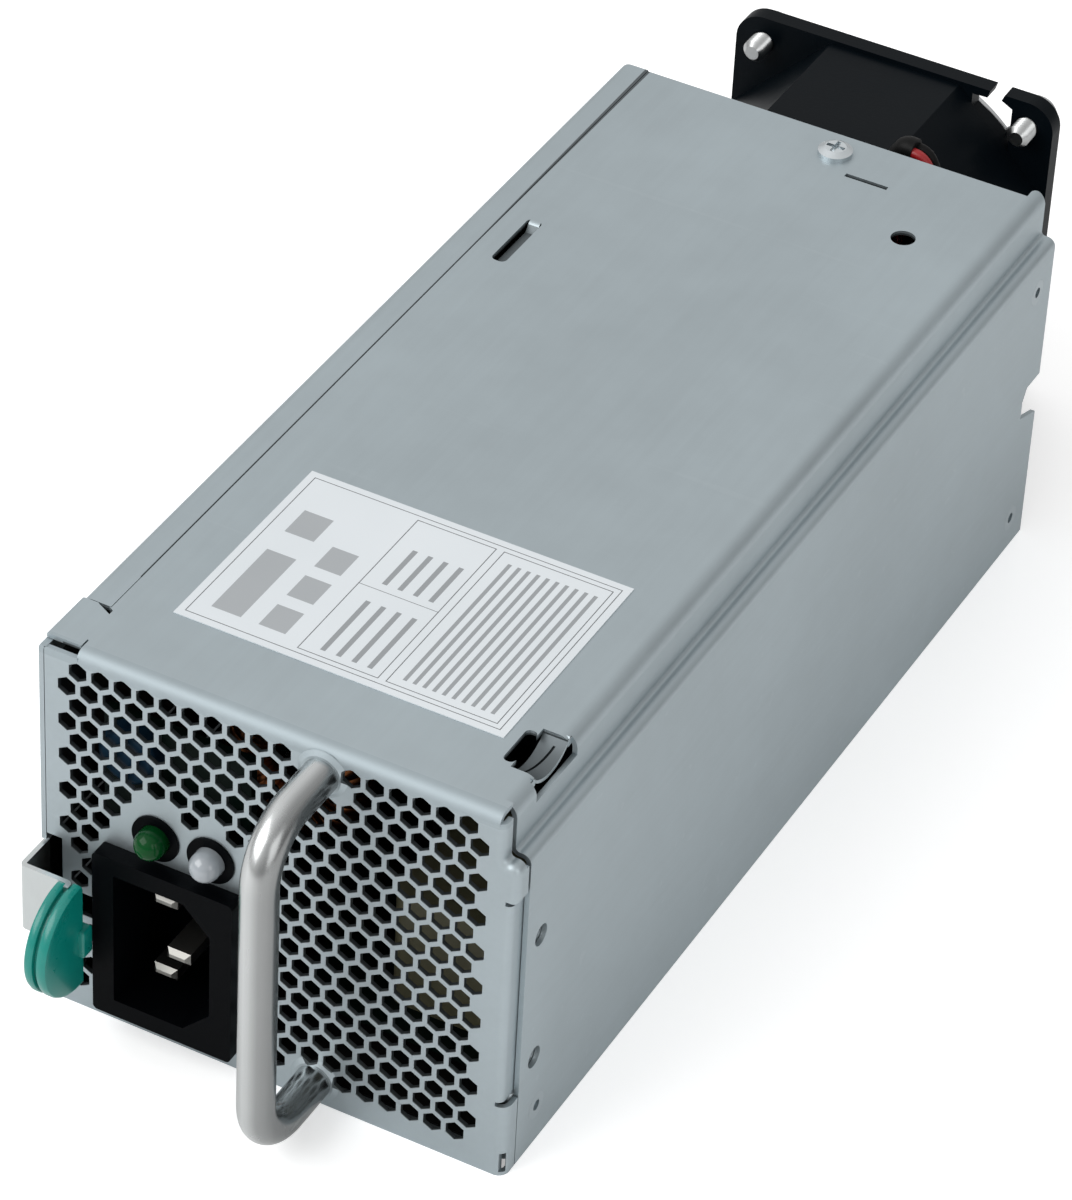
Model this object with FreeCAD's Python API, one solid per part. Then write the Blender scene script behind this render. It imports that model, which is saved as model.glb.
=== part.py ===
import FreeCAD, Part
import math
import os

# Hot-swap server power supply: a folded sheet-metal case with a perforated front, a carry
# handle, a mains inlet, a sprung bay latch and a 60 mm fan carried on the rear wall.
# Millimetres. +X right and +Y to the back, seen from the perforated front; +Z up.
# The origin is the centre of the case's underside.

V = FreeCAD.Vector

# ---------------------------------------------------------------- driving dimensions
# Case
CASE_W = 79.6
CASE_H = 68.4
CASE_L = 183.5
SHEET = 0.8              # zinc-plated steel of the case
SEAM = 0.12              # gap between two sheets that lap or butt
BEND_R = 1.0             # inside radius of the folds
TOP_BEND_R = 1.8         # inside radius of the cover's long top fold
STEP_BEND_R = 0.7        # inside radius of the two folds of the step
STEP_W = 2.6             # the right wall stands this much outside the top
STEP_H = 8.4             # height of the step above the right wall
WALL_SETBACK = 3.5       # right wall's front edge behind the front face
TOP_SETBACK = 2.8        # top's back edge in front of the right wall's back edge
REAR_INSET = 2.5         # rear wall inside the right wall's back edge
FLANGE_W = 5.0           # left wall's return flange on the top
CORNER_L = 11.6          # top corner that reaches over the left wall
BASE_LIP_H = 12.0        # base lip inside the right wall
LIP_D = 2.9              # front's return lip at the step, from the front face back
LIP_R = 1.3              # outside radius of that lip's fold
RETURN_GAP = 0.2         # between the front's lower return and the right wall

# Perforated field on the front
HOLE_PITCH = 3.8
HOLE_AF = 3.0            # hexagon across flats
HOLE_LEFT = 4.7          # first column's centre from the left side
HOLE_TOP = 3.6           # first row's centre below the top
HOLE_RIM = 5.6           # least distance of a hole's centre from the right side
HOLE_FOOT = 4.6          # least distance of a hole's centre from the underside

# Mains inlet, long side upright
INLET_FROM_LEFT = 22.6
INLET_Z = 19.2
INLET_FLANGE_W = 24.0
INLET_FLANGE_H = 31.0
INLET_FLANGE_T = 3.0
INLET_BODY_W = 20.0
INLET_BODY_H = 27.0
INLET_BODY_L = 17.0      # behind the front face
SOCKET_W = 16.6
SOCKET_H = 24.6
SOCKET_DEPTH = 16.0
SOCKET_CHAMFER = 4.6
PIN_W = 4.0
PIN_T = 2.0
PIN_PITCH = 14.0
PIN_OFFSET = 4.0         # earth pin's centre from the line of the other two
LINE_PIN_RECESS = 4.0    # line pin tips inside the flange's face
EARTH_PIN_RECESS = 1.2
PIN_TAIL = 7.0           # solder tag behind the body
PIN_CHAMFER = 0.7
PRESS = 0.02             # clearance of a pressed-in piece

# Status lamps
LAMP_FROM_LEFT = 19.9
LAMP_PITCH = 9.4
LAMP_Z = 39.3
LAMP_HOLE_R = 4.0
LAMP_R = 2.5
LAMP_PROUD = 4.2         # dome's tip in front of the front face
LAMP_L = 8.6
HOLDER_L = 4.6
HOLDER_PROUD = 0.4
LAMP_BOARD_L = 25.0
LAMP_BOARD_H = 21.0

# Carry handle
HANDLE_FROM_RIGHT = 32.1
HANDLE_LOW_Z = 4.4
HANDLE_BELOW_TOP = 4.6
HANDLE_D = 5.8
HANDLE_REACH = 17.3      # grip axis in front of the front face
HANDLE_BEND_R = 9.0
BOSS_R = 4.1
BOSS_TOP_R = 3.3
BOSS_H = 0.5
HANDLE_SCREW_R = 1.5

# Bay latch
LATCH_Z = 23.7
LATCH_H = 12.4
LATCH_T = 0.8
LATCH_REACH = 6.3        # latch plate's front face before the front face
LATCH_PIVOT = 64.0       # bend line behind the front face
LATCH_FOOT_L = 13.0
LATCH_TRAVEL_GAP = 3.6   # width of the cut-out that the arm passes through
LATCH_CLEAR = 0.6        # around the arm in the left wall
TOOTH_PROUD = 1.8
TOOTH_FRONT = 8.0
TOOTH_L = 6.0
TOOTH_H = 8.0
TAB_R = 9.6              # thumb tab, a half disc
TAB_T = 4.0
TAB_Z = 20.1
TAB_FROM_LEFT = 8.6      # middle of the tab's thickness
TAB_GROOVE = 0.7
MOVE_GAP = 0.3           # between the moving pieces and the fixed ones

# Fan
FAN_SIZE = 60.0
FAN_DEPTH = 38.0
FAN_FLANGE_T = 3.2
FAN_CORNER_R = 5.0
FAN_HOLE_PITCH = 50.0
FAN_FROM_LEFT = 34.8
FAN_DROP = 2.5           # fan's axis below the middle of the case's height
FAN_BORE_R = 28.0
FAN_WALL = 1.2
FAN_HUB_R = 13.5
FAN_HOLE_R = 2.15
FAN_SCREW_R = 2.05
FAN_SCREW_PROUD = 4.0
TIP_GAP = 1.0
BLADES = 7
ROTOR_L = 21.0
SHAFT_R = 1.5
SHAFT_CLEAR = 0.05
GUARD_WIRE_R = 0.8
STATOR_L = 9.0

# Top details
LABEL_FROM_LEFT = 13.4
LABEL_FRONT = 15.3
LABEL_W = 54.8
LABEL_L = 40.0
LABEL_T = 0.15
TONGUE_SLOT_W = 2.6
TONGUE_SLOT_L = 13.2
TONGUE_W = 1.9
TONGUE_SLOT_FROM_LEFT = 9.0
TONGUE_SLOT_FRONT = 118.8
TONGUE_DROP = 1.5
WINDOW_LEFT = 9.5        # spring window's left edge, from the right side
WINDOW_FRONT = 9.2
WINDOW_L = 12.2
WINDOW_DEPTH = 3.6       # the window's right side, down the step
NARROW_SLOT_W = 1.9
NARROW_SLOT_L = 7.8
NARROW_SLOT_FRONT = 11.2
FINGER_W = 4.0
FINGER_SAG = 2.4
FINGER_SLIT = 0.4
LOCATOR_R = 2.05
LOCATOR_FROM_RIGHT = 16.9
LOCATOR_BACK = 24.5
SLIT_L = 7.6
SLIT_W = 0.9
SLIT_BACK = 13.5
COVER_SCREW_BACK = 8.2
COVER_SCREW_FROM_LEFT = 42.6
SCREW_R = 1.5
SCREW_HEAD_R = 2.9
SCREW_HEAD_H = 1.3

# Board and what stands on it
BOARD_T = 1.6
BOARD_Z = 6.8
BOARD_SIDE_GAP = 3.4
BOARD_FRONT = 12.0
BOARD_BACK_GAP = 5.0
STANDOFF_R = 2.6
STANDOFF_EDGE = 3.2      # from the board's right edge
FILM_T = 0.4
TRANSFORMER_L = 34.0
TRANSFORMER_H = 34.0
CORE_LEG = 6.0
CONNECTOR_W = 5.0
CONNECTOR_H = 34.0
CONNECTOR_PROUD = 6.0
CONNECTOR_L = 22.0
CONNECTOR_FROM_RIGHT = 8.0
CONNECTOR_Z = 27.0
CONTACTS = 8
LEAD_R = 0.9

# ---------------------------------------------------------------- derived places
FRONT = -CASE_L / 2
BACK = CASE_L / 2
LEFT = -CASE_W / 2
RIGHT = CASE_W / 2
INSIDE_TOP = CASE_H - SHEET
FOLD_R = BEND_R + SHEET
REAR_FACE = BACK - REAR_INSET
TOP_BACK = BACK - TOP_SETBACK
STEP_X = RIGHT - STEP_W
STEP_Z = CASE_H - STEP_H
INLET_X = LEFT + INLET_FROM_LEFT
HANDLE_X = RIGHT - HANDLE_FROM_RIGHT
HANDLE_HIGH_Z = CASE_H - HANDLE_BELOW_TOP
GRIP_Y = FRONT - HANDLE_REACH
LATCH_LOW = LATCH_Z - LATCH_H / 2
LATCH_HIGH = LATCH_Z + LATCH_H / 2
TAB_X = LEFT + TAB_FROM_LEFT
PLATE_Y = FRONT - LATCH_REACH
PIVOT_Y = FRONT + LATCH_PIVOT
FAN_X = LEFT + FAN_FROM_LEFT
FAN_Z = CASE_H / 2 - FAN_DROP
FAN_BACK = REAR_FACE + FAN_DEPTH
BODY_APOTHEM = FAN_BORE_R + FAN_WALL
BOARD_TOP = BOARD_Z + BOARD_T
BOARD_BACK = REAR_FACE - SHEET - BOARD_BACK_GAP
LIP_X = RIGHT - SHEET - SEAM
BOARD_LEFT = LEFT + SHEET + BOARD_SIDE_GAP
BOARD_RIGHT = LIP_X - SHEET - BOARD_SIDE_GAP
INLET_CLEAR = INLET_BODY_L + PIN_TAIL + 1.0
CONNECTOR_X = RIGHT - CONNECTOR_FROM_RIGHT
LAMPS_X = [LEFT + LAMP_FROM_LEFT + LAMP_PITCH * i for i in range(2)]
LAMP_BOARD_Y = FRONT - LAMP_PROUD + LAMP_L + PRESS


# ---------------------------------------------------------------- helpers
def behind(distance):
    """Y of a plane this far behind the front face."""
    return FRONT + distance


def box(low, high):
    size = [b - a for a, b in zip(low, high)]
    return Part.makeBox(size[0], size[1], size[2], V(*low))


def rod(radius, length, base, axis):
    return Part.makeCylinder(radius, length, V(*base), V(*axis))


def ring(outer, inner, length, base, axis):
    return rod(outer, length, base, axis).cut(rod(inner, length, base, axis))


def fuse_all(shapes):
    whole = shapes[0]
    if len(shapes) > 1:
        whole = whole.multiFuse(shapes[1:])
    return whole.removeSplitter()


def corner_arc(before, point, after, radius):
    """Start, middle and end of the arc that rounds a corner of a path."""
    to_before = (before - point).normalize()
    to_after = (after - point).normalize()
    half = to_before.getAngle(to_after) / 2
    reach = radius / math.tan(half)
    bisector = (to_before + to_after).normalize()
    centre = point + bisector * (radius / math.sin(half))
    return point + to_before * reach, centre - bisector * radius, point + to_after * reach


def rounded_path(points, radii):
    """Edges through 3-D points, with a tangent arc at each inner point that has a radius."""
    edges = []
    start = points[0]
    for i in range(1, len(points) - 1):
        if radii[i] <= 0:
            edges.append(Part.LineSegment(start, points[i]).toShape())
            start = points[i]
            continue
        a, m, b = corner_arc(points[i - 1], points[i], points[i + 1], radii[i])
        if (a - start).Length > 1e-6:
            edges.append(Part.LineSegment(start, a).toShape())
        edges.append(Part.Arc(a, m, b).toShape())
        start = b
    edges.append(Part.LineSegment(start, points[-1]).toShape())
    return edges


def place(point, plane, offset):
    """A 2-D point set on a plane across one axis, at that axis' offset."""
    u, v = point
    return {"x": V(offset, u, v), "y": V(u, offset, v), "z": V(u, v, offset)}[plane]


def prism(points, plane, low, high, holes=()):
    """A polygon (and polygonal or round holes) extruded across one axis."""
    outer = Part.makePolygon([place(p, plane, low) for p in list(points) + [points[0]]])
    wires = [outer]
    for hole in holes:
        wires.append(Part.makePolygon([place(p, plane, low) for p in list(hole) + [hole[0]]]))
    face = Part.makeFace(wires, "Part::FaceMakerBullseye")
    step = {"x": V(high - low, 0, 0), "y": V(0, high - low, 0), "z": V(0, 0, high - low)}[plane]
    return face.extrude(step)


def offset_left(points, distance):
    """The path moved to its left by a distance, in 2-D."""
    moved = []
    for i, point in enumerate(points):
        normals = []
        for a, b in ((i - 1, i), (i, i + 1)):
            if a < 0 or b >= len(points):
                continue
            du = points[b][0] - points[a][0]
            dv = points[b][1] - points[a][1]
            size = math.hypot(du, dv)
            normals.append((-dv / size, du / size))
        nu = sum(n[0] for n in normals) / len(normals)
        nv = sum(n[1] for n in normals) / len(normals)
        scale = distance / (nu * nu + nv * nv)
        moved.append((point[0] + nu * scale, point[1] + nv * scale))
    return moved


def turns_left(points, i):
    au = points[i][0] - points[i - 1][0]
    av = points[i][1] - points[i - 1][1]
    bu = points[i + 1][0] - points[i][0]
    bv = points[i + 1][1] - points[i][1]
    return au * bv - av * bu > 0


def bent_sheet(points, plane, low, high, thickness, bends):
    """Folded sheet: the path is one face, the sheet lies to its left, bends are inside radii."""
    other = offset_left(points, thickness)
    near_r = [0.0] * len(points)
    far_r = [0.0] * len(points)
    for i in range(1, len(points) - 1):
        left = turns_left(points, i)
        near_r[i] = bends[i - 1] + thickness if left else bends[i - 1]
        far_r[i] = bends[i - 1] if left else bends[i - 1] + thickness
    near = [place(p, plane, low) for p in points]
    far = [place(p, plane, low) for p in reversed(other)]
    edges = rounded_path(near, near_r)
    edges.append(Part.LineSegment(near[-1], far[0]).toShape())
    edges += rounded_path(far, list(reversed(far_r)))
    edges.append(Part.LineSegment(far[-1], near[0]).toShape())
    face = Part.Face(Part.Wire(edges))
    step = {"x": V(high - low, 0, 0), "y": V(0, high - low, 0), "z": V(0, 0, high - low)}[plane]
    return face.extrude(step)


def tube_along(points, radii, radius):
    """A round bar or lead along a rounded path."""
    path = Part.Wire(rounded_path(points, radii))
    direction = (points[1] - points[0]).normalize()
    section = Part.Wire([Part.makeCircle(radius, points[0], direction)])
    return path.makePipeShell([section], True, False)


def lead_radii(points):
    """Bend radii of a lead: as large as each pair of runs allows."""
    radii = [0.0] * len(points)
    for i in range(1, len(points) - 1):
        a = points[i] - points[i - 1]
        b = points[i + 1] - points[i]
        radii[i] = 0.45 * min(a.Length, b.Length) / math.tan(a.getAngle(b) / 2)
    return radii


def pan_screw(base, axis, length, shank_r=SCREW_R, head_r=SCREW_HEAD_R, head_h=SCREW_HEAD_H):
    """Pan-head screw with a cross recess; base is the seat under the head, axis points out."""
    out = V(*axis)
    seat = V(*base)
    head = Part.makeCylinder(head_r, head_h * 0.55, seat, out)
    crown = Part.makeCone(head_r, head_r * 0.62, head_h * 0.45, seat + out * head_h * 0.55, out)
    shank = Part.makeCylinder(shank_r, length, seat, out * -1)
    screw = head.multiFuse([crown, shank])
    slot = Part.makeBox(head_r * 1.1, head_r * 0.26, head_h)
    slot.translate(V(-head_r * 0.55, -head_r * 0.13, head_h * 0.35))
    for turn in (0, 90):
        blade = slot.copy()
        blade.rotate(V(0, 0, 0), V(0, 0, 1), turn)
        blade.Placement = FreeCAD.Placement(seat, FreeCAD.Rotation(V(0, 0, 1), out)).multiply(
            blade.Placement)
        screw = screw.cut(blade)
    return screw


def export(name, shapes):
    solids = [solid for shape in shapes for solid in shape.Solids]
    for solid in solids:
        if not solid.isValid():
            print("not valid:", name)
    whole = solids[0] if len(solids) == 1 else Part.makeCompound(solids)
    whole.exportStep(os.path.join("parts", name + ".step"))
    print("%-22s %3d solids %10.1f mm3" % (name, len(solids), sum(s.Volume for s in solids)))


# ---------------------------------------------------------------- case
def fan_screw_places():
    half = FAN_HOLE_PITCH / 2
    return [(FAN_X + sx * half, FAN_Z + sz * half) for sx in (-1, 1) for sz in (-1, 1)]


TOP_SLOT_END = LEFT + 6.4
TOP_SLOT_Z = CASE_H - 1.0
TOP_SLOT_BACK = 1.8
LATCH_SCREWS = [LATCH_PIVOT + LATCH_FOOT_L * part for part in (0.35, 0.75)]
SIDE_SCREWS = [(behind(9.6), 7.1), (BACK - 5.5, 6.1), (BACK - 5.5, STEP_Z - 7.4)]
FLANGE_HOLES = [(behind(7.9), STEP_Z - 18.0), (behind(7.9), 18.1)]
FLANGE_HOLE_R = 1.8
FLANGE_LOW = FLANGE_HOLES[1][1] - 3.6
FLANGE_HIGH = FLANGE_HOLES[0][1] + 10.5
LEAD_NOTCH_R = 3.4
LEAD_NOTCH_X = FAN_X + 20.9
LEAD_NOTCH_Z = FAN_Z + FAN_SIZE / 2 - 3.0
LEAD_PAIR = 0.95         # half the distance between the two leads' centre lines
LEAD_PORT_X = FAN_X + 13.9
LEAD_ARCH_BACK = 5.6     # the leads' arch behind the rear wall


def chassis_base():
    """Underside, left wall with its return flange, right lip and rear wall."""
    path = [(LEFT + FLANGE_W, CASE_H), (LEFT, CASE_H), (LEFT, 0), (LIP_X, 0), (LIP_X, BASE_LIP_H)]
    shell = bent_sheet(path, "y", FRONT, REAR_FACE, SHEET, [BEND_R] * 3)
    front_gap = behind(SHEET + SEAM)
    shell = shell.cut(box((LEFT + SHEET, FRONT - 1, -1), (RIGHT, front_gap, FOLD_R)))
    shell = shell.cut(box((LIP_X - FOLD_R, FRONT - 1, -1), (RIGHT, behind(WALL_SETBACK), BASE_LIP_H + 1)))
    corner_low = INSIDE_TOP - SEAM
    shell = shell.cut(box((LEFT - 1, FRONT - 1, corner_low), (0, behind(CORNER_L + SEAM), CASE_H + 1)))
    chamfer = 2.2
    tip = [(LEFT - 1, REAR_FACE - chamfer), (LEFT + chamfer * 0.6, REAR_FACE + 1), (LEFT - 1, REAR_FACE + 1)]
    shell = shell.cut(prism(tip, "z", CASE_H - STEP_H, CASE_H + 1))
    inner_left = LEFT + SHEET
    inner_right = LIP_X - SHEET
    under_step = STEP_Z - SHEET - SEAM
    inside_step = STEP_X - SHEET - SEAM
    high = INSIDE_TOP - SEAM
    rear = prism([(inner_left, 0), (inner_right, 0), (inner_right, under_step), (inside_step, under_step),
                  (inside_step, high), (inner_left, high)], "y", REAR_FACE - SHEET, REAR_FACE)
    tab_x = LEFT + COVER_SCREW_FROM_LEFT
    tab = box((tab_x - 7, BACK - 14.5, INSIDE_TOP - SEAM - SHEET),
              (tab_x + 7, REAR_FACE, INSIDE_TOP - SEAM))
    side_z = SIDE_SCREWS[2][1]
    side = box((inner_right, BACK - 13.5, side_z - 6), (LIP_X, REAR_FACE, under_step))
    shell = fuse_all([shell, rear, tab, side])
    cuts = [rod(FAN_BORE_R - 0.5, 4, (FAN_X, REAR_FACE - 2, FAN_Z), (0, 1, 0))]
    for x, z in fan_screw_places():
        cuts.append(rod(FAN_HOLE_R, 4, (x, REAR_FACE - 2, z), (0, 1, 0)))
    cuts.append(rod(LEAD_NOTCH_R, 4, (LEAD_NOTCH_X, REAR_FACE - 2, LEAD_NOTCH_Z), (0, 1, 0)))
    half_w = CONNECTOR_W / 2 + 0.1
    half_h = CONNECTOR_H / 2 + 0.1
    cuts.append(box((CONNECTOR_X - half_w, REAR_FACE - 2, CONNECTOR_Z - half_h),
                    (CONNECTOR_X + half_w, REAR_FACE + 1, CONNECTOR_Z + half_h)))
    cuts.append(rod(SCREW_R + PRESS, 4, (tab_x, BACK - COVER_SCREW_BACK, INSIDE_TOP - 2.5), (0, 0, 1)))
    for y, z in SIDE_SCREWS:
        cuts.append(rod(SCREW_R + PRESS, 6, (RIGHT - 5, y, z), (1, 0, 0)))
    low = LATCH_LOW - LATCH_CLEAR
    high = LATCH_HIGH + LATCH_CLEAR
    cuts.append(box((LEFT - 1, FRONT - 1, low), (LEFT + SHEET + 0.01, PIVOT_Y - 1.2, high)))
    for y in LATCH_SCREWS:
        cuts.append(rod(SCREW_R + PRESS, 3, (LEFT - 1, behind(y), LATCH_Z), (1, 0, 0)))
    for x, y in standoff_places():
        cuts.append(rod(SCREW_R, 3, (x, y, -1), (0, 0, 1)))
    return shell.cut(cuts)


def hexagon(x, z):
    r = HOLE_AF / math.sqrt(3)
    return [(x + r * math.sin(math.radians(60 * i)), z + r * math.cos(math.radians(60 * i)))
            for i in range(6)]


def near_rect(x, z, low_x, high_x, low_z, high_z, margin):
    return low_x - margin < x < high_x + margin and low_z - margin < z < high_z + margin


def hole_centres():
    """Hexagonal field, without the places of the inlet, lamps, handle feet and latch."""
    row_step = HOLE_PITCH * math.sqrt(3) / 2
    half = HOLE_PITCH / 2
    rows = int((CASE_H - HOLE_TOP - HOLE_FOOT) / row_step) + 1
    columns = int((CASE_W - HOLE_LEFT - HOLE_RIM) / half) + 1
    centres = []
    for row in range(rows):
        for column in range(columns):
            if (row + column) % 2 == 0:
                continue
            x = LEFT + HOLE_LEFT + column * half
            z = CASE_H - HOLE_TOP - row * row_step
            if keeps_clear(x, z):
                centres.append((x, z))
    return centres


def keeps_clear(x, z):
    half_w = INLET_FLANGE_W / 2
    half_h = INLET_FLANGE_H / 2
    inlet_low_x = INLET_X - half_w
    if near_rect(x, z, inlet_low_x, INLET_X + half_w, INLET_Z - half_h, INLET_Z + half_h, 1.9):
        return False
    for lamp in LAMPS_X:
        if math.hypot(x - lamp, z - LAMP_Z) < LAMP_HOLE_R + HOLE_AF / 2 + 0.9:
            return False
    for foot in (HANDLE_LOW_Z, HANDLE_HIGH_Z):
        if math.hypot(x - HANDLE_X, z - foot) < BOSS_R + 0.3:
            return False
    gap_edge = LEFT + LATCH_TRAVEL_GAP
    if near_rect(x, z, LEFT, gap_edge, LATCH_LOW - 2, LATCH_HIGH + 2, HOLE_AF / 2 + 0.6):
        return False
    slot = latch_slot()
    return not near_rect(x, z, slot[0], slot[1], slot[2], slot[3], HOLE_AF / 2 + 0.4)


def latch_slot():
    """Small slot in the front beside the thumb tab: low and high X, low and high Z."""
    return TAB_X - 3.4, TAB_X + 0.2, LATCH_Z - 5.3, LATCH_Z - 1.0


def front_panel():
    """The flat of the front, with its holes."""
    left_edge = LEFT + SHEET + SEAM
    top_edge = CASE_H - FOLD_R
    right_edge = STEP_X - LIP_R - 0.1
    outline = [(left_edge, 0), (right_edge, 0), (right_edge, top_edge), (left_edge, top_edge)]
    slot = latch_slot()
    slot_hole = [(slot[0], slot[2]), (slot[1], slot[2]), (slot[1], slot[3]), (slot[0], slot[3])]
    holes = [hexagon(x, z) for x, z in hole_centres()] + [slot_hole]
    panel = prism(outline, "y", FRONT, FRONT + SHEET, holes)
    corner_flat = box((left_edge, FRONT, top_edge - 0.2), (TOP_SLOT_END + 0.2, FRONT + SHEET, TOP_SLOT_Z))
    panel = panel.fuse(corner_flat)
    half_w = INLET_BODY_W / 2 + SEAM
    half_h = INLET_BODY_H / 2 + SEAM
    cuts = [box((INLET_X - half_w, FRONT - 1, INLET_Z - half_h),
                (INLET_X + half_w, FRONT + 2, INLET_Z + half_h))]
    for x in LAMPS_X:
        cuts.append(rod(LAMP_HOLE_R, 4, (x, FRONT - 1, LAMP_Z), (0, 1, 0)))
    cuts.append(box((LEFT, FRONT - 1, LATCH_LOW - 1.5),
                    (LEFT + LATCH_TRAVEL_GAP, FRONT + 2, LATCH_HIGH + 2)))
    return panel.cut(cuts)


def step_block(inset, fold, front, back):
    """Solid right of the front's flat, up to the step's outline less an inset, its front rounded."""
    left = STEP_X - LIP_R - 0.15
    low = FLANGE_HIGH + (0.8 if inset == 0 else -1)
    high = CASE_H - 1.4 if inset == 0 else CASE_H
    side = RIGHT - inset
    step_x = STEP_X - inset
    step_z = STEP_Z - inset
    outer = STEP_BEND_R + SHEET
    points = [(left, low), (side, low), (side, step_z), (step_x, step_z), (step_x, high), (left, high)]
    radii = [0, 0, outer - inset, STEP_BEND_R + inset, 0, 0]
    edges = rounded_path([place(p, "y", front) for p in points], radii)
    edges.append(Part.LineSegment(place(points[-1], "y", front), place(points[0], "y", front)).toShape())
    block = Part.Face(Part.Wire(edges)).extrude(V(0, back - front, 0))
    rim = []
    for edge in block.Edges:
        bounds = edge.BoundBox
        at_end = bounds.XMin < left + 0.01 or bounds.ZLength < 1e-6 and bounds.ZMax < low + 0.01
        if bounds.YMax < front + 1e-6 and not at_end:
            rim.append(edge)
    return block.makeFillet(fold, rim)


def step_lip():
    """Upper right of the front: folded back into a short lip that follows the step."""
    lip = step_block(0, LIP_R, FRONT, behind(LIP_D))
    lip = lip.cut(step_block(SHEET, LIP_R - SHEET, FRONT + SHEET, behind(LIP_D + 1)))
    shorter = box((LEFT, behind(LIP_D - 0.6), STEP_Z - 1.2), (RIGHT + 1, behind(LIP_D + 1), CASE_H + 1))
    corner_z = FLANGE_HIGH + 0.8
    soft = box((RIGHT - 2, FRONT - 1, corner_z - 1), (RIGHT + 1, behind(LIP_D + 1), corner_z + 1.2))
    soft = soft.cut(rod(3.2, LIP_D + 3, (RIGHT - 2.6, FRONT - 1.5, corner_z + 2.4), (0, 1, 0)))
    return lip.cut([shorter, soft])


def handle_bosses():
    bosses = []
    near = [p for p in hole_centres() if abs(p[0] - HANDLE_X) < BOSS_R + HOLE_AF]
    for z in (HANDLE_LOW_Z, HANDLE_HIGH_Z):
        boss = Part.makeCone(BOSS_R, BOSS_TOP_R, BOSS_H, V(HANDLE_X, FRONT, z), V(0, -1, 0))
        for x, hole_z in near:
            if abs(hole_z - z) < BOSS_R + HOLE_AF:
                boss = boss.cut(prism(hexagon(x, hole_z), "y", FRONT - 2, FRONT + 1))
        bosses.append(boss)
    return bosses


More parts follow.
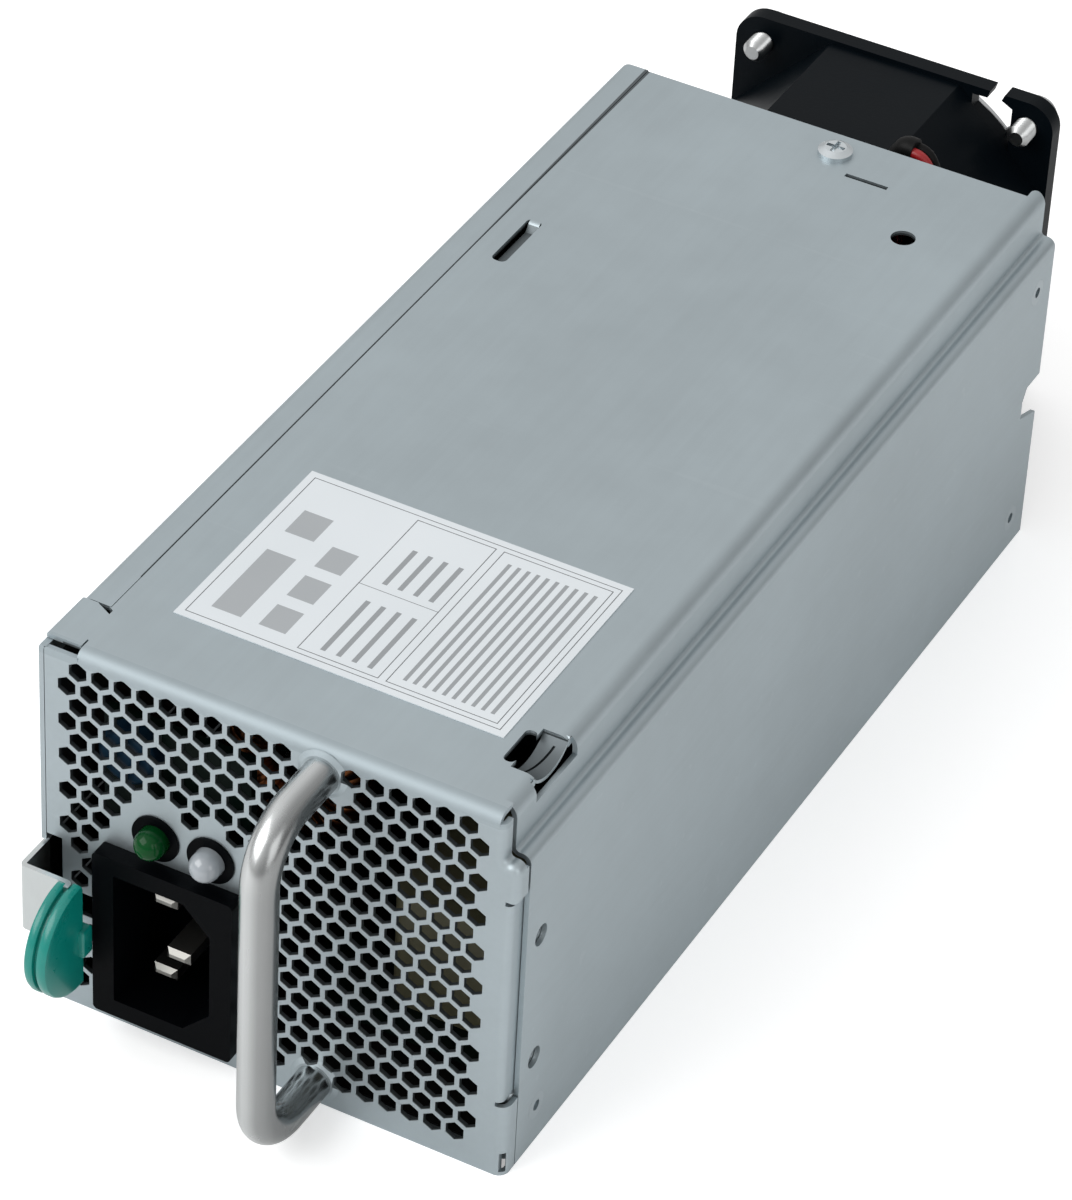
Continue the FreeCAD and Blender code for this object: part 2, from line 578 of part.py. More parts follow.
def top_cover():
    """Top, stepped right wall and perforated front, folded from one sheet."""
    seam_x = LEFT + FLANGE_W + SEAM
    path = [(RIGHT, 0), (RIGHT, STEP_Z), (STEP_X, STEP_Z), (STEP_X, CASE_H), (seam_x, CASE_H)]
    wall = bent_sheet(path, "y", behind(WALL_SETBACK), BACK, SHEET, [STEP_BEND_R, STEP_BEND_R, TOP_BEND_R])
    wall = wall.cut(box((LEFT, TOP_BACK, CASE_H - 4), (STEP_X - 2.2, BACK + 1, CASE_H + 1)))
    wall = wall.cut(rear_tab_corner())
    fold = [(behind(WALL_SETBACK + 0.2), CASE_H), (FRONT, CASE_H), (FRONT, CASE_H - FOLD_R - 0.2)]
    bend = bent_sheet(fold, "x", TOP_SLOT_END, STEP_X - 0.9, SHEET, [BEND_R])
    corner = box((LEFT, behind(TOP_SLOT_BACK), INSIDE_TOP), (seam_x + 1, behind(CORNER_L), CASE_H))
    long_edge = [e for e in corner.Edges
                 if e.BoundBox.XMax < LEFT + 1e-6 and e.BoundBox.ZMin > CASE_H - 1e-6]
    corner = corner.makeFillet(SHEET - 0.05, long_edge)
    tip_r = 0.6
    tip_y = behind(TOP_SLOT_BACK) + tip_r
    tip = box((LEFT - 1, tip_y - tip_r - 1, INSIDE_TOP - 1), (LEFT + tip_r, tip_y, CASE_H + 1))
    tip = tip.cut(rod(tip_r, 4, (LEFT + tip_r, tip_y, INSIDE_TOP - 1), (0, 0, 1)))
    corner = corner.cut(tip)
    front = front_panel()
    side_bend = 0.3
    inner_x = LIP_X - SHEET - side_bend
    side_path = [(STEP_X - LIP_R - 0.2, FRONT), (LIP_X, FRONT), (LIP_X, behind(12.0))]
    side = bent_sheet(side_path, "z", FLANGE_LOW, FLANGE_HIGH, SHEET, [side_bend])
    web_x = STEP_X - LIP_R - 0.2
    side_web = box((web_x, FRONT, FLANGE_LOW - 0.9), (inner_x, FRONT + SHEET, FLANGE_HIGH + 0.9))
    return_path = [(web_x, FRONT), (RIGHT, FRONT), (RIGHT, behind(WALL_SETBACK - RETURN_GAP))]
    lower = bent_sheet(return_path, "z", 0, FLANGE_LOW - 0.8, SHEET, [BEND_R])
    bend_slot = box((RIGHT - 1.0, FRONT - 1, 0.7), (RIGHT - 0.2, FRONT + 2, 4.4))
    lower = lower.cut(bend_slot)
    pieces = [wall, bend, corner, front, side, side_web, lower, step_lip()]
    cover = fuse_all(pieces + handle_bosses())
    cuts = []
    for z in (HANDLE_LOW_Z, HANDLE_HIGH_Z):
        cuts.append(rod(HANDLE_SCREW_R + 0.1, 6, (HANDLE_X, FRONT - 3, z), (0, 1, 0)))
    for y, z in SIDE_SCREWS:
        cuts.append(rod(SCREW_R + PRESS, 4, (RIGHT - 2, y, z), (1, 0, 0)))
        seat = V(RIGHT - SHEET, y, z)
        cuts.append(Part.makeCone(SCREW_R, SCREW_R + SHEET + 0.4, SHEET + 0.4, seat, V(1, 0, 0)))
    for y, z in FLANGE_HOLES:
        cuts.append(rod(FLANGE_HOLE_R, 6, (RIGHT - 4, y, z), (1, 0, 0)))
    cuts.append(rod(LOCATOR_R, 4, (RIGHT - LOCATOR_FROM_RIGHT, BACK - LOCATOR_BACK, CASE_H - 2), (0, 0, 1)))
    screw_x = LEFT + COVER_SCREW_FROM_LEFT
    cuts.append(rod(SCREW_R + PRESS, 4, (screw_x, BACK - COVER_SCREW_BACK, CASE_H - 2), (0, 0, 1)))
    slit_x = screw_x + 4.2
    slit_y = BACK - SLIT_BACK
    cuts.append(box((slit_x, slit_y, CASE_H - 2), (slit_x + SLIT_L, slit_y + SLIT_W, CASE_H + 1)))
    cuts.append(corner_relief(seam_x))
    tongue_x = LEFT + TONGUE_SLOT_FROM_LEFT
    tongue_y = behind(TONGUE_SLOT_FRONT)
    cuts.append(rounded_slot(tongue_x, tongue_y, TONGUE_SLOT_W, TONGUE_SLOT_L, 1.0))
    window_x = RIGHT - WINDOW_LEFT
    window_y = behind(WINDOW_FRONT)
    cuts.append(rounded_slot(window_x, behind(NARROW_SLOT_FRONT), NARROW_SLOT_W, NARROW_SLOT_L, 0.85))
    finger_x = window_x + NARROW_SLOT_W
    cuts.append(box((finger_x, window_y + 1.2, CASE_H - FOLD_R),
                    (finger_x + FINGER_W + 0.1, window_y + WINDOW_L - 1.2, CASE_H + 1)))
    cuts.append(box((finger_x + FINGER_W, window_y, CASE_H - WINDOW_DEPTH),
                    (STEP_X + 1, window_y + WINDOW_L, CASE_H + 1)))
    cuts.append(rear_hook())
    cover = cover.cut(cuts)
    return fuse_all([cover, lanced_tongue(tongue_x, tongue_y), spring_finger(finger_x, window_y)])


def rear_hook():
    """Keying notch in the right wall's back edge."""
    high = 33.0
    points = [(BACK + 1, high), (BACK - 5.0, high), (BACK - 6.4, high - 2.2), (BACK - 6.4, high - 5.6),
              (BACK + 1, high - 8.2)]
    return prism(points, "x", RIGHT - 2, RIGHT + 1)


def rear_tab_corner():
    """Rounds the back corner of the short tab that the top leaves on the step."""
    radius = 1.4
    x = STEP_X - 2.2
    corner = box((x - 1, BACK - radius, CASE_H - 4), (x + radius, BACK + 1, CASE_H + 1))
    return corner.cut(rod(radius, 8, (x + radius, BACK - radius, CASE_H - 5), (0, 0, 1)))


def corner_relief(seam_x):
    """Slanted slot at the inner end of the corner that reaches over the left wall."""
    y = behind(CORNER_L)
    slant = 1.4
    left = seam_x - 2.1
    points = [(left, y - 0.1), (left, y + 0.9), (left + 2.7, y + 0.9 - slant), (left + 2.7, y - 0.1 - slant)]
    return prism(points, "z", CASE_H - 2, CASE_H + 1)


def rounded_slot(x, y, width, length, radius):
    """Cutter for a slot in the top, with rounded ends."""
    cutter = box((x, y, CASE_H - 2), (x + width, y + length, CASE_H + 1))
    return cutter.makeFillet(radius, [e for e in cutter.Edges if e.BoundBox.ZLength > 2])


def lanced_tongue(x, y):
    """Tongue pressed down from the back end of its slot, flat along its length."""
    back = y + TONGUE_SLOT_L
    points = [(back + 0.6, CASE_H), (back - 0.6, CASE_H), (back - 1.9, CASE_H - TONGUE_DROP),
              (y + 1.8, CASE_H - TONGUE_DROP)]
    left = x + (TONGUE_SLOT_W - TONGUE_W) / 2
    return bent_sheet(points, "x", left, left + TONGUE_W, SHEET * 0.8, [BEND_R * 0.3, BEND_R * 0.3])


def spring_finger(x, y):
    """Bowed strip left standing across the window, slit along its length."""
    front = V(x, y + 0.6, CASE_H - SHEET)
    middle = V(x, y + WINDOW_L / 2, CASE_H - SHEET - FINGER_SAG)
    end = V(x, y + WINDOW_L - 0.6, CASE_H - SHEET)
    lift = V(0, 0, SHEET * 0.75)
    under = Part.Arc(front, middle, end).toShape()
    over = Part.Arc(front + lift, middle + lift, end + lift).toShape()
    sides = [Part.LineSegment(front, front + lift).toShape(), Part.LineSegment(end, end + lift).toShape()]
    face = Part.Face(Part.Wire(Part.__sortEdges__([under, over] + sides)))
    strip = face.extrude(V(FINGER_W, 0, 0))
    near = x + FINGER_W * 0.2
    far = x + FINGER_W * 0.55
    slit = [(near, y + 2.4), (near + FINGER_SLIT, y + 2.4), (far + FINGER_SLIT, y + WINDOW_L - 2.2),
            (far, y + WINDOW_L - 2.2)]
    return strip.cut(prism(slit, "z", CASE_H - 6, CASE_H + 1))


# ---------------------------------------------------------------- front fittings
def carry_handle():
    seat = FRONT - BOSS_H
    points = [V(HANDLE_X, seat, HANDLE_LOW_Z), V(HANDLE_X, GRIP_Y, HANDLE_LOW_Z),
              V(HANDLE_X, GRIP_Y, HANDLE_HIGH_Z), V(HANDLE_X, seat, HANDLE_HIGH_Z)]
    bar = tube_along(points, [0, HANDLE_BEND_R, HANDLE_BEND_R, 0], HANDLE_D / 2)
    for z in (HANDLE_LOW_Z, HANDLE_HIGH_Z):
        bar = bar.cut(rod(HANDLE_SCREW_R + PRESS, 7.0, (HANDLE_X, seat, z), (0, -1, 0)))
    return bar


def handle_screws():
    seat = FRONT + SHEET
    return [pan_screw((HANDLE_X, seat, z), (0, 1, 0), SHEET + BOSS_H + 6.0, HANDLE_SCREW_R, 2.6, 1.6)
            for z in (HANDLE_LOW_Z, HANDLE_HIGH_Z)]


def socket_outline():
    """The inlet's recess: two chamfered corners on the earth pin's side."""
    w = SOCKET_W / 2
    h = SOCKET_H / 2
    c = SOCKET_CHAMFER
    x = INLET_X
    z = INLET_Z
    return [(x - w, z - h), (x + w - c, z - h), (x + w, z - h + c), (x + w, z + h - c), (x + w - c, z + h),
            (x - w, z + h)]


def pin_places():
    """Centres and tip recesses of the line, neutral and earth pins."""
    line_x = INLET_X - PIN_OFFSET / 2
    half = PIN_PITCH / 2
    return [(line_x, INLET_Z + half, LINE_PIN_RECESS), (line_x, INLET_Z - half, LINE_PIN_RECESS),
            (line_x + PIN_OFFSET, INLET_Z, EARTH_PIN_RECESS)]


def pin_blank(x, z, front, back, clear):
    return box((x - PIN_W / 2 - clear, front, z - PIN_T / 2 - clear),
               (x + PIN_W / 2 + clear, back, z + PIN_T / 2 + clear))


def inlet_housing():
    face = FRONT - INLET_FLANGE_T
    half_w = INLET_FLANGE_W / 2
    half_h = INLET_FLANGE_H / 2
    flange = box((INLET_X - half_w, face, INLET_Z - half_h), (INLET_X + half_w, FRONT, INLET_Z + half_h))
    edges = [e for e in flange.Edges if abs(e.BoundBox.YLength - INLET_FLANGE_T) < 1e-6]
    flange = flange.makeFillet(0.8, edges)
    body = box((INLET_X - INLET_BODY_W / 2, FRONT, INLET_Z - INLET_BODY_H / 2),
               (INLET_X + INLET_BODY_W / 2, behind(INLET_BODY_L), INLET_Z + INLET_BODY_H / 2))
    housing = flange.fuse(body).removeSplitter()
    housing = housing.cut(prism(socket_outline(), "y", face - 1, face + SOCKET_DEPTH))
    for x, z, _recess in pin_places():
        housing = housing.cut(pin_blank(x, z, face, behind(INLET_BODY_L) + 1, PRESS))
    return housing


def inlet_pins():
    face = FRONT - INLET_FLANGE_T
    pins = []
    for x, z, recess in pin_places():
        pin = pin_blank(x, z, face + recess, behind(INLET_BODY_L + PIN_TAIL), 0)
        tip = [e for e in pin.Edges if e.BoundBox.YMax < face + recess + 1e-6]
        pins.append(pin.makeChamfer(PIN_CHAMFER, tip))
    return pins


def lamp_holders():
    inner = LAMP_R + 0.05
    return [ring(LAMP_HOLE_R - PRESS, inner, HOLDER_L, (x, FRONT - HOLDER_PROUD, LAMP_Z), (0, 1, 0))
            for x in LAMPS_X]


def lamp(x):
    dome_centre = FRONT - LAMP_PROUD + LAMP_R
    length = LAMP_L - LAMP_R
    barrel = rod(LAMP_R, length, (x, dome_centre, LAMP_Z), (0, 1, 0))
    dome = Part.makeSphere(LAMP_R, V(x, dome_centre, LAMP_Z))
    return barrel.fuse(dome).removeSplitter()


def lamp_board():
    """Small upright board behind the lamps; it also carries the suppression capacitor."""
    low_z = LAMP_Z - LAMP_HOLE_R
    right = LAMPS_X[1] + LAMP_HOLE_R
    return box((right - LAMP_BOARD_L, LAMP_BOARD_Y, low_z),
               (right, LAMP_BOARD_Y + BOARD_T, low_z + LAMP_BOARD_H))


def suppression_capacitor():
    """Dipped disc on the lamp board's face, above and left of the lamps."""
    x = LAMPS_X[1] + LAMP_HOLE_R - LAMP_BOARD_L + 5.4
    z = LAMP_Z - LAMP_HOLE_R + LAMP_BOARD_H - 5.6
    thickness = LAMP_BOARD_Y - behind(SHEET) - 0.5
    disc = rod(5.0, thickness, (x, LAMP_BOARD_Y - thickness, z), (0, 1, 0))
    return disc.makeFillet(thickness * 0.4, [e for e in disc.Edges if e.BoundBox.YMax < LAMP_BOARD_Y - 0.1
                                             and e.BoundBox.XLength > 9])


# ---------------------------------------------------------------- bay latch
def latch_arm():
    """Sprung strip in the left wall's window, folded into the plate that carries the tab."""
    inner = LEFT + SHEET + SEAM
    tongue_x = TAB_X - LATCH_T / 2
    path = [(inner, PIVOT_Y), (inner, PIVOT_Y - 1.6), (LEFT, PIVOT_Y - 3.4), (LEFT, PLATE_Y),
            (tongue_x, PLATE_Y), (tongue_x, PLATE_Y - TAB_R * 0.7)]
    arm = bent_sheet(path, "z", LATCH_LOW, LATCH_HIGH, LATCH_T, [LATCH_T * 0.25] * 4)
    trim_y = PLATE_Y - LATCH_T
    top_z = TAB_Z + TAB_R * 0.55
    arm = arm.cut(box((LEFT, trim_y - TAB_R, top_z), (TAB_X + 2, trim_y, LATCH_HIGH + 1)))
    steep = behind(TOOTH_FRONT)
    tooth = prism([(LEFT + 0.1, steep), (LEFT - TOOTH_PROUD, steep + 0.4), (LEFT - TOOTH_PROUD, steep + 1.4),
                   (LEFT + 0.1, steep + TOOTH_L)], "z", LATCH_Z - TOOTH_H / 2, LATCH_Z + TOOTH_H / 2)
    return arm.fuse(tooth).removeSplitter()


def half_disc(radius, x, thickness, y):
    disc = rod(radius, thickness, (x, y, TAB_Z), (1, 0, 0))
    return disc.common(box((x - 1, y - radius - 1, TAB_Z - radius - 1),
                           (x + thickness + 1, y, TAB_Z + radius + 1)))


def latch_tab():
    """Thumb tab pushed on the plate's tongue, with a groove round its rim."""
    back = PLATE_Y - PRESS
    low_x = TAB_X - TAB_T / 2
    tab = half_disc(TAB_R, low_x, TAB_T, back)
    layer_x = TAB_X + LATCH_T / 2 + PRESS
    rear = PLATE_Y + LATCH_T
    tab = tab.fuse(box((layer_x, back - 1, TAB_Z - TAB_R), (low_x + TAB_T, rear, TAB_Z + TAB_R)))
    tab = tab.common(rod(TAB_R, TAB_T, (low_x, back, TAB_Z), (1, 0, 0)))
    tail_x = TAB_X + LATCH_T
    tail_z = TAB_Z - 3.4
    tab = tab.fuse(box((tail_x, back - 1, tail_z), (low_x + TAB_T + 1.0, rear + 1.3, tail_z + 5.0)))
    tab = tab.removeSplitter()
    rim = half_disc(TAB_R + 1, TAB_X - TAB_GROOVE / 2, TAB_GROOVE, back)
    tab = tab.cut(rim.cut(half_disc(TAB_R - TAB_GROOVE, TAB_X - TAB_GROOVE / 2, TAB_GROOVE, back)))
    slot = box((TAB_X - LATCH_T / 2 - PRESS, PLATE_Y - TAB_R * 0.7 - PRESS, LATCH_LOW - PRESS),
               (layer_x, rear + 0.01, TAB_Z + TAB_R * 0.55 + PRESS))
    corner = box((low_x - 1, PLATE_Y - PRESS, LATCH_LOW - PRESS), (layer_x, rear + 0.01, LATCH_HIGH + 1))
    bend = LATCH_T * 1.3
    pocket = box((TAB_X - LATCH_T / 2 - bend, PLATE_Y - bend, LATCH_LOW - PRESS),
                 (layer_x, rear + 0.01, LATCH_HIGH + 1))
    return tab.cut([slot, corner, pocket])


def latch_foot():
    """Riveted root of the latch strip, behind its bend line."""
    inner = LEFT + SHEET + SEAM
    foot = box((inner, PIVOT_Y + MOVE_GAP, LATCH_LOW), (inner + LATCH_T, PIVOT_Y + LATCH_FOOT_L, LATCH_HIGH))
    for y in LATCH_SCREWS:
        foot = foot.cut(rod(SCREW_R + PRESS, 4, (LEFT - 1, behind(y), LATCH_Z), (1, 0, 0)))
    return foot


def latch_rivets():
    inner = LEFT + SHEET + SEAM + LATCH_T
    rivets = []
    for y in LATCH_SCREWS:
        shank = rod(SCREW_R, inner + 0.6 - LEFT, (LEFT, behind(y), LATCH_Z), (1, 0, 0))
        head = Part.makeCone(SCREW_R * 1.9, SCREW_R * 1.3, 0.9, V(inner, behind(y), LATCH_Z), V(1, 0, 0))
        rivets.append(shank.fuse(head).removeSplitter())
    return rivets


# ---------------------------------------------------------------- fan
def octagon(apothem):
    half = apothem * math.tan(math.radians(22.5))
    ring_points = [(half, apothem), (apothem, half), (apothem, -half), (half, -apothem),
                   (-half, -apothem), (-apothem, -half), (-apothem, half), (-half, apothem)]
    return [(FAN_X + x, FAN_Z + z) for x, z in ring_points]


def fan_flange(front, thickness):
    half = FAN_SIZE / 2
    plate = box((FAN_X - half, front, FAN_Z - half), (FAN_X + half, front + thickness, FAN_Z + half))
    edges = [e for e in plate.Edges if abs(e.BoundBox.YLength - thickness) < 1e-6]
    return plate.makeFillet(FAN_CORNER_R, edges)


def lead_hook(front):
    """Hooked notch through which a lead can be laid into the rear flange's corner."""
    half = FAN_SIZE / 2
    points = [(half - 12.05, half + 1), (half - 9.4, half + 1), (half - 9.4, half), (half - 9.9, half - 1.2),
              (half - 7.8, half - 2.3), (half - 7.8, half - 13), (half - 15.25, half - 13),
              (half - 15.25, half - 1.6), (half - 12.5, half - 1.5), (half - 12.05, half)]
    notch = prism([(FAN_X + x, FAN_Z + z) for x, z in points], "y", front - 0.01, front + FAN_FLANGE_T + 1)
    return notch.cut(rod(BODY_APOTHEM, FAN_FLANGE_T + 4, (FAN_X, front - 1, FAN_Z), (0, 1, 0)))


def fan_frame():
    far = FAN_BACK - FAN_FLANGE_T
    near_flange = fan_flange(REAR_FACE, FAN_FLANGE_T)
    far_flange = fan_flange(far, FAN_FLANGE_T)
    body = prism(octagon(BODY_APOTHEM), "y", REAR_FACE, FAN_BACK)
    frame = fuse_all([near_flange, far_flange, body])
    bore = rod(FAN_BORE_R, FAN_DEPTH + 2, (FAN_X, REAR_FACE - 1, FAN_Z), (0, 1, 0))
    cuts = [bore, lead_hook(far), lead_port()]
    for x, z in fan_screw_places():
        cuts.append(rod(FAN_HOLE_R, FAN_DEPTH + 2, (x, REAR_FACE - 1, z), (0, 1, 0)))
    notch_low = LEAD_NOTCH_X - LEAD_NOTCH_R
    cuts.append(box((notch_low, REAR_FACE - 1, LEAD_NOTCH_Z - 3), (LEAD_NOTCH_X + LEAD_NOTCH_R,
                    REAR_FACE + FAN_FLANGE_T + 1, FAN_Z + FAN_SIZE / 2 + 1)))
    frame = frame.cut(cuts)
    hub = rod(FAN_HUB_R, 3.0, (FAN_X, REAR_FACE + 0.4, FAN_Z), (0, 1, 0))
    sleeve = rod(SHAFT_R + 2.2, STATOR_L + 3.0, (FAN_X, REAR_FACE + 0.4, FAN_Z), (0, 1, 0))
    struts = []
    for turn in (20, 110, 200, 290):
        strut = box((FAN_HUB_R - 1, REAR_FACE + 0.4, -1.4), (FAN_BORE_R + 0.6, REAR_FACE + 3.4, 1.4))
        strut.rotate(V(0, 0, 0), V(0, 1, 0), turn)
        strut.translate(V(FAN_X, 0, FAN_Z))
        struts.append(strut)
    frame = fuse_all([frame, hub, sleeve] + struts)
    bore = SHAFT_R + SHAFT_CLEAR
    return frame.cut(rod(bore, STATOR_L + 6.0, (FAN_X, REAR_FACE + 2.0, FAN_Z), (0, 1, 0)))


def fan_stator():
    """Wound core round the bearing sleeve."""
    front = REAR_FACE + 3.4 + PRESS
    core = ring(FAN_HUB_R - 3.4, SHAFT_R + 2.2 + PRESS, STATOR_L - 0.6, (FAN_X, front, FAN_Z), (0, 1, 0))
    slots = []
    for i in range(6):
        slot = box((SHAFT_R + 4.4, front - 1, -0.8), (FAN_HUB_R, front + STATOR_L, 0.8))
        slot.rotate(V(0, 0, 0), V(0, 1, 0), 60 * i + 15)
        slot.translate(V(FAN_X, 0, FAN_Z))
        slots.append(slot)
    return core.cut(slots)


def fan_rotor():
    """Hub cup and swept blades; open towards the stator."""
    front = REAR_FACE + 3.4 + 1.0
    cup = rod(FAN_HUB_R, ROTOR_L, (FAN_X, front, FAN_Z), (0, 1, 0))
    cup = cup.cut(rod(FAN_HUB_R - 1.6, STATOR_L + 1.6, (FAN_X, front - 1, FAN_Z), (0, 1, 0)))
    tip_r = FAN_BORE_R - TIP_GAP
    limit = ring(tip_r, FAN_HUB_R - 0.8, ROTOR_L, (FAN_X, front, FAN_Z), (0, 1, 0))
    blades = []
    for i in range(BLADES):
        profile = [(front + 1.0, -5.5), (front + ROTOR_L * 0.5, -1.0), (front + ROTOR_L - 1.0, 6.5),
                   (front + ROTOR_L - 2.4, 6.5), (front + ROTOR_L * 0.5 - 0.5, 0.6), (front + 1.0, -3.7)]
        blade = prism([(y, z) for y, z in profile], "x", FAN_HUB_R - 2.5, FAN_BORE_R + 2)
        blade.rotate(V(0, 0, 0), V(0, 1, 0), 360.0 * i / BLADES)
        blade.translate(V(FAN_X, 0, FAN_Z))
        blades.append(blade.common(limit))
    rotor = fuse_all([cup] + blades)
    shaft_hole = rod(SHAFT_R + PRESS / 2, ROTOR_L * 2, (FAN_X, front, FAN_Z), (0, 1, 0))
    return rotor.cut(shaft_hole)


def fan_shaft():
    return rod(SHAFT_R, ROTOR_L - 1.0, (FAN_X, REAR_FACE + 3.4, FAN_Z), (0, 1, 0))


def fan_screws():
    """Guard screws through the rear flange: their points stand out inside it."""
    seat = FAN_BACK + GUARD_WIRE_R * 2
    length = GUARD_WIRE_R * 2 + FAN_FLANGE_T + FAN_SCREW_PROUD
    screws = []
    for x, z in fan_screw_places():
        screw = pan_screw((x, seat, z), (0, 1, 0), length, FAN_SCREW_R, 3.4, 1.8)
        rim = [e for e in screw.Edges if e.BoundBox.YMax < seat - length + 1e-6]
        screws.append(screw.makeFillet(0.7, rim))
    return screws


def fan_mount_screws():
    """Screws from inside the case into the front flange."""
    seat = REAR_FACE - SHEET
    length = SHEET + FAN_FLANGE_T - 0.4
    return [pan_screw((x, seat, z), (0, -1, 0), length, FAN_SCREW_R, 3.4, 1.8)
            for x, z in fan_screw_places()]


def fan_guard():
    wire = GUARD_WIRE_R
    ring_y = FAN_BACK + wire * 2.3
    arm_y = FAN_BACK + wire
    pieces = []
    for radius in (8.0, 14.5, 21.0, 27.5):
        pieces.append(Part.makeTorus(radius, wire, V(FAN_X, ring_y, FAN_Z), V(0, 1, 0)))
    for x, z in fan_screw_places():
        centre = V(FAN_X, arm_y, FAN_Z)
        eye = V(x, arm_y, z)
        direction = (eye - centre).normalize()
        length = (eye - centre).Length - 7.5 - FAN_SCREW_R - wire
        pieces.append(Part.makeCylinder(wire, length, centre + direction * 7.5, direction))
        pieces.append(Part.makeTorus(FAN_SCREW_R + wire + 0.1, wire, eye, V(0, 1, 0)))
    return fuse_all(pieces)


def lead_port():
    """Window in the frame's wall where the leads go in towards the motor."""
    half_w = LEAD_R * 2 + 0.7
    middle = REAR_FACE + LEAD_ARCH_BACK
    return box((LEAD_PORT_X - half_w, middle - half_w, FAN_Z + 20),
               (LEAD_PORT_X + half_w, middle + half_w, FAN_Z + FAN_SIZE / 2))


def fan_lead_route():
    """Middle line of the pair of leads, from inside the case over the front flange."""
    top = FAN_Z + FAN_SIZE / 2
    x = LEAD_NOTCH_X
    y = REAR_FACE
    arch = y + LEAD_ARCH_BACK
    foot_x = LEAD_PORT_X
    return [V(x, y - 7.0, top - 13.0), V(x, y - 6.6, top - 3.2), V(x, arch - 0.6, top - 3.0),
            V(x + 0.3, arch - 0.4, top + 1.4), V(x - 1.6, arch - 0.2, top + 4.2),
            V(foot_x + 1.9, arch, top + 4.4), V(foot_x + 0.2, arch, top + 1.8),
            V(foot_x, arch, FAN_Z + 25.8)]


def fan_lead_points(side):
    """One lead's route: beside the middle line, in the plane of each bend."""
    along_y = V(0, side * LEAD_PAIR, 0)
    along_z = V(0, 0, -side * LEAD_PAIR)
    shifts = [along_y, along_y + along_z, along_y + along_z] + [along_y] * 5
    return [point + shift for point, shift in zip(fan_lead_route(), shifts)]


def fan_lead(side):
    """One of the fan's two leads."""
    points = fan_lead_points(side)
    radii = lead_radii(points)
    print("lead radii", [round(r, 1) for r in radii[1:-1]])
    return tube_along(points, radii, LEAD_R)


def lead_sleeve():
    """Sleeve over both leads where they go into the fan's frame."""
    route = fan_lead_route()[4:]
    route[0] = route[0] * 0.45 + route[1] * 0.55
    sleeve = tube_along(route, lead_radii(route), LEAD_R * 2 + 0.2)
    return sleeve.cut([fan_lead(-1), fan_lead(1)])


# ---------------------------------------------------------------- board and its parts
def standoff_places():
    left = BOARD_LEFT + STANDOFF_EDGE + 1.8
    right = BOARD_RIGHT - STANDOFF_EDGE
    middle = behind(91.0)
    back = BOARD_BACK - 6.0
    return [(left, behind(56.0)), (left, middle), (left, back),
            (right, behind(BOARD_FRONT + 6.0)), (right, middle), (right, back)]


def main_board():
    """Main board, cut back behind the inlet."""
    board = box((BOARD_LEFT, behind(BOARD_FRONT), BOARD_Z), (BOARD_RIGHT, BOARD_BACK, BOARD_TOP))
    notch_right = INLET_X + INLET_BODY_W / 2 + 3.0
    board = board.cut(box((BOARD_LEFT - 1, FRONT, BOARD_Z - 1),
                          (notch_right, behind(INLET_CLEAR), BOARD_TOP + 1)))
    for x, y in standoff_places():
        board = board.cut(rod(SCREW_R + PRESS, 4, (x, y, BOARD_Z - 1), (0, 0, 1)))
    return board


def standoffs():
    return [ring(STANDOFF_R, SCREW_R + PRESS, BOARD_Z - SHEET, (x, y, SHEET), (0, 0, 1))
            for x, y in standoff_places()]


def board_screws():
    return [pan_screw((x, y, BOARD_TOP), (0, 0, 1), BOARD_TOP - 0.2, SCREW_R, 2.6, 1.5)
            for x, y in standoff_places()]


def insulating_film():
    film = box((LEFT + SHEET + 2, behind(4), SHEET), (LIP_X - SHEET - 2, BOARD_BACK, SHEET + FILM_T))
    for x, y in standoff_places():
        film = film.cut(rod(STANDOFF_R + 0.3, 3, (x, y, 0), (0, 0, 1)))
    return film


def on_board(x, y):
    """A place on the board: X from the left side, Y behind the front face."""
    return LEFT + x, behind(y), BOARD_TOP


def block(x, y, width, length, height, radius=0.0):
    """A boxy component centred on a board place."""
    px, py, pz = on_board(x, y)
    shape = box((px - width / 2, py - length / 2, pz), (px + width / 2, py + length / 2, pz + height))
    if radius > 0:
        edges = [e for e in shape.Edges if abs(e.BoundBox.ZLength - height) < 1e-6]
        shape = shape.makeFillet(radius, edges)
    return shape


def can(x, y, radius, height):
    """A standing round capacitor with a rolled neck."""
    px, py, pz = on_board(x, y)
    body = rod(radius, height, (px, py, pz), (0, 0, 1))
    neck = Part.makeTorus(radius + 0.25, 0.6, V(px, py, pz + 2.5), V(0, 0, 1))
    return body.cut(neck)


def choke(x, y, outer, inner, width):
    """A standing toroid, its axis along the case."""
    px, py, pz = on_board(x, y)
    centre = V(px, py, pz + outer + 0.2)
    core = Part.makeTorus((outer + inner) / 2, (outer - inner) / 2, centre, V(0, 1, 0))
    slab = box((px - outer - 1, py - width / 2, pz), (px + outer + 1, py + width / 2, pz + 2 * outer + 1))
    return core.common(slab)


def transformer_core(x, y):
    """Ferrite frame round the winding's window."""
    px, py, pz = on_board(x, y)
    window = box((px - 20, py - TRANSFORMER_L / 2 + CORE_LEG, pz + CORE_LEG),
                 (px + 20, py + TRANSFORMER_L / 2 - CORE_LEG, pz + TRANSFORMER_H - CORE_LEG))
    return block(x, y, 26.0, TRANSFORMER_L, TRANSFORMER_H, 1.0).cut(window)


def transformer_winding(x, y):
    """Taped winding that fills the core's window and stands out at both sides."""
    gap = 0.2
    winding = block(x, y, 31.0, TRANSFORMER_L - 2 * (CORE_LEG + gap),
                    TRANSFORMER_H - 2 * (CORE_LEG + gap), 4.0)
    winding.translate(V(0, 0, CORE_LEG + gap))
    return winding


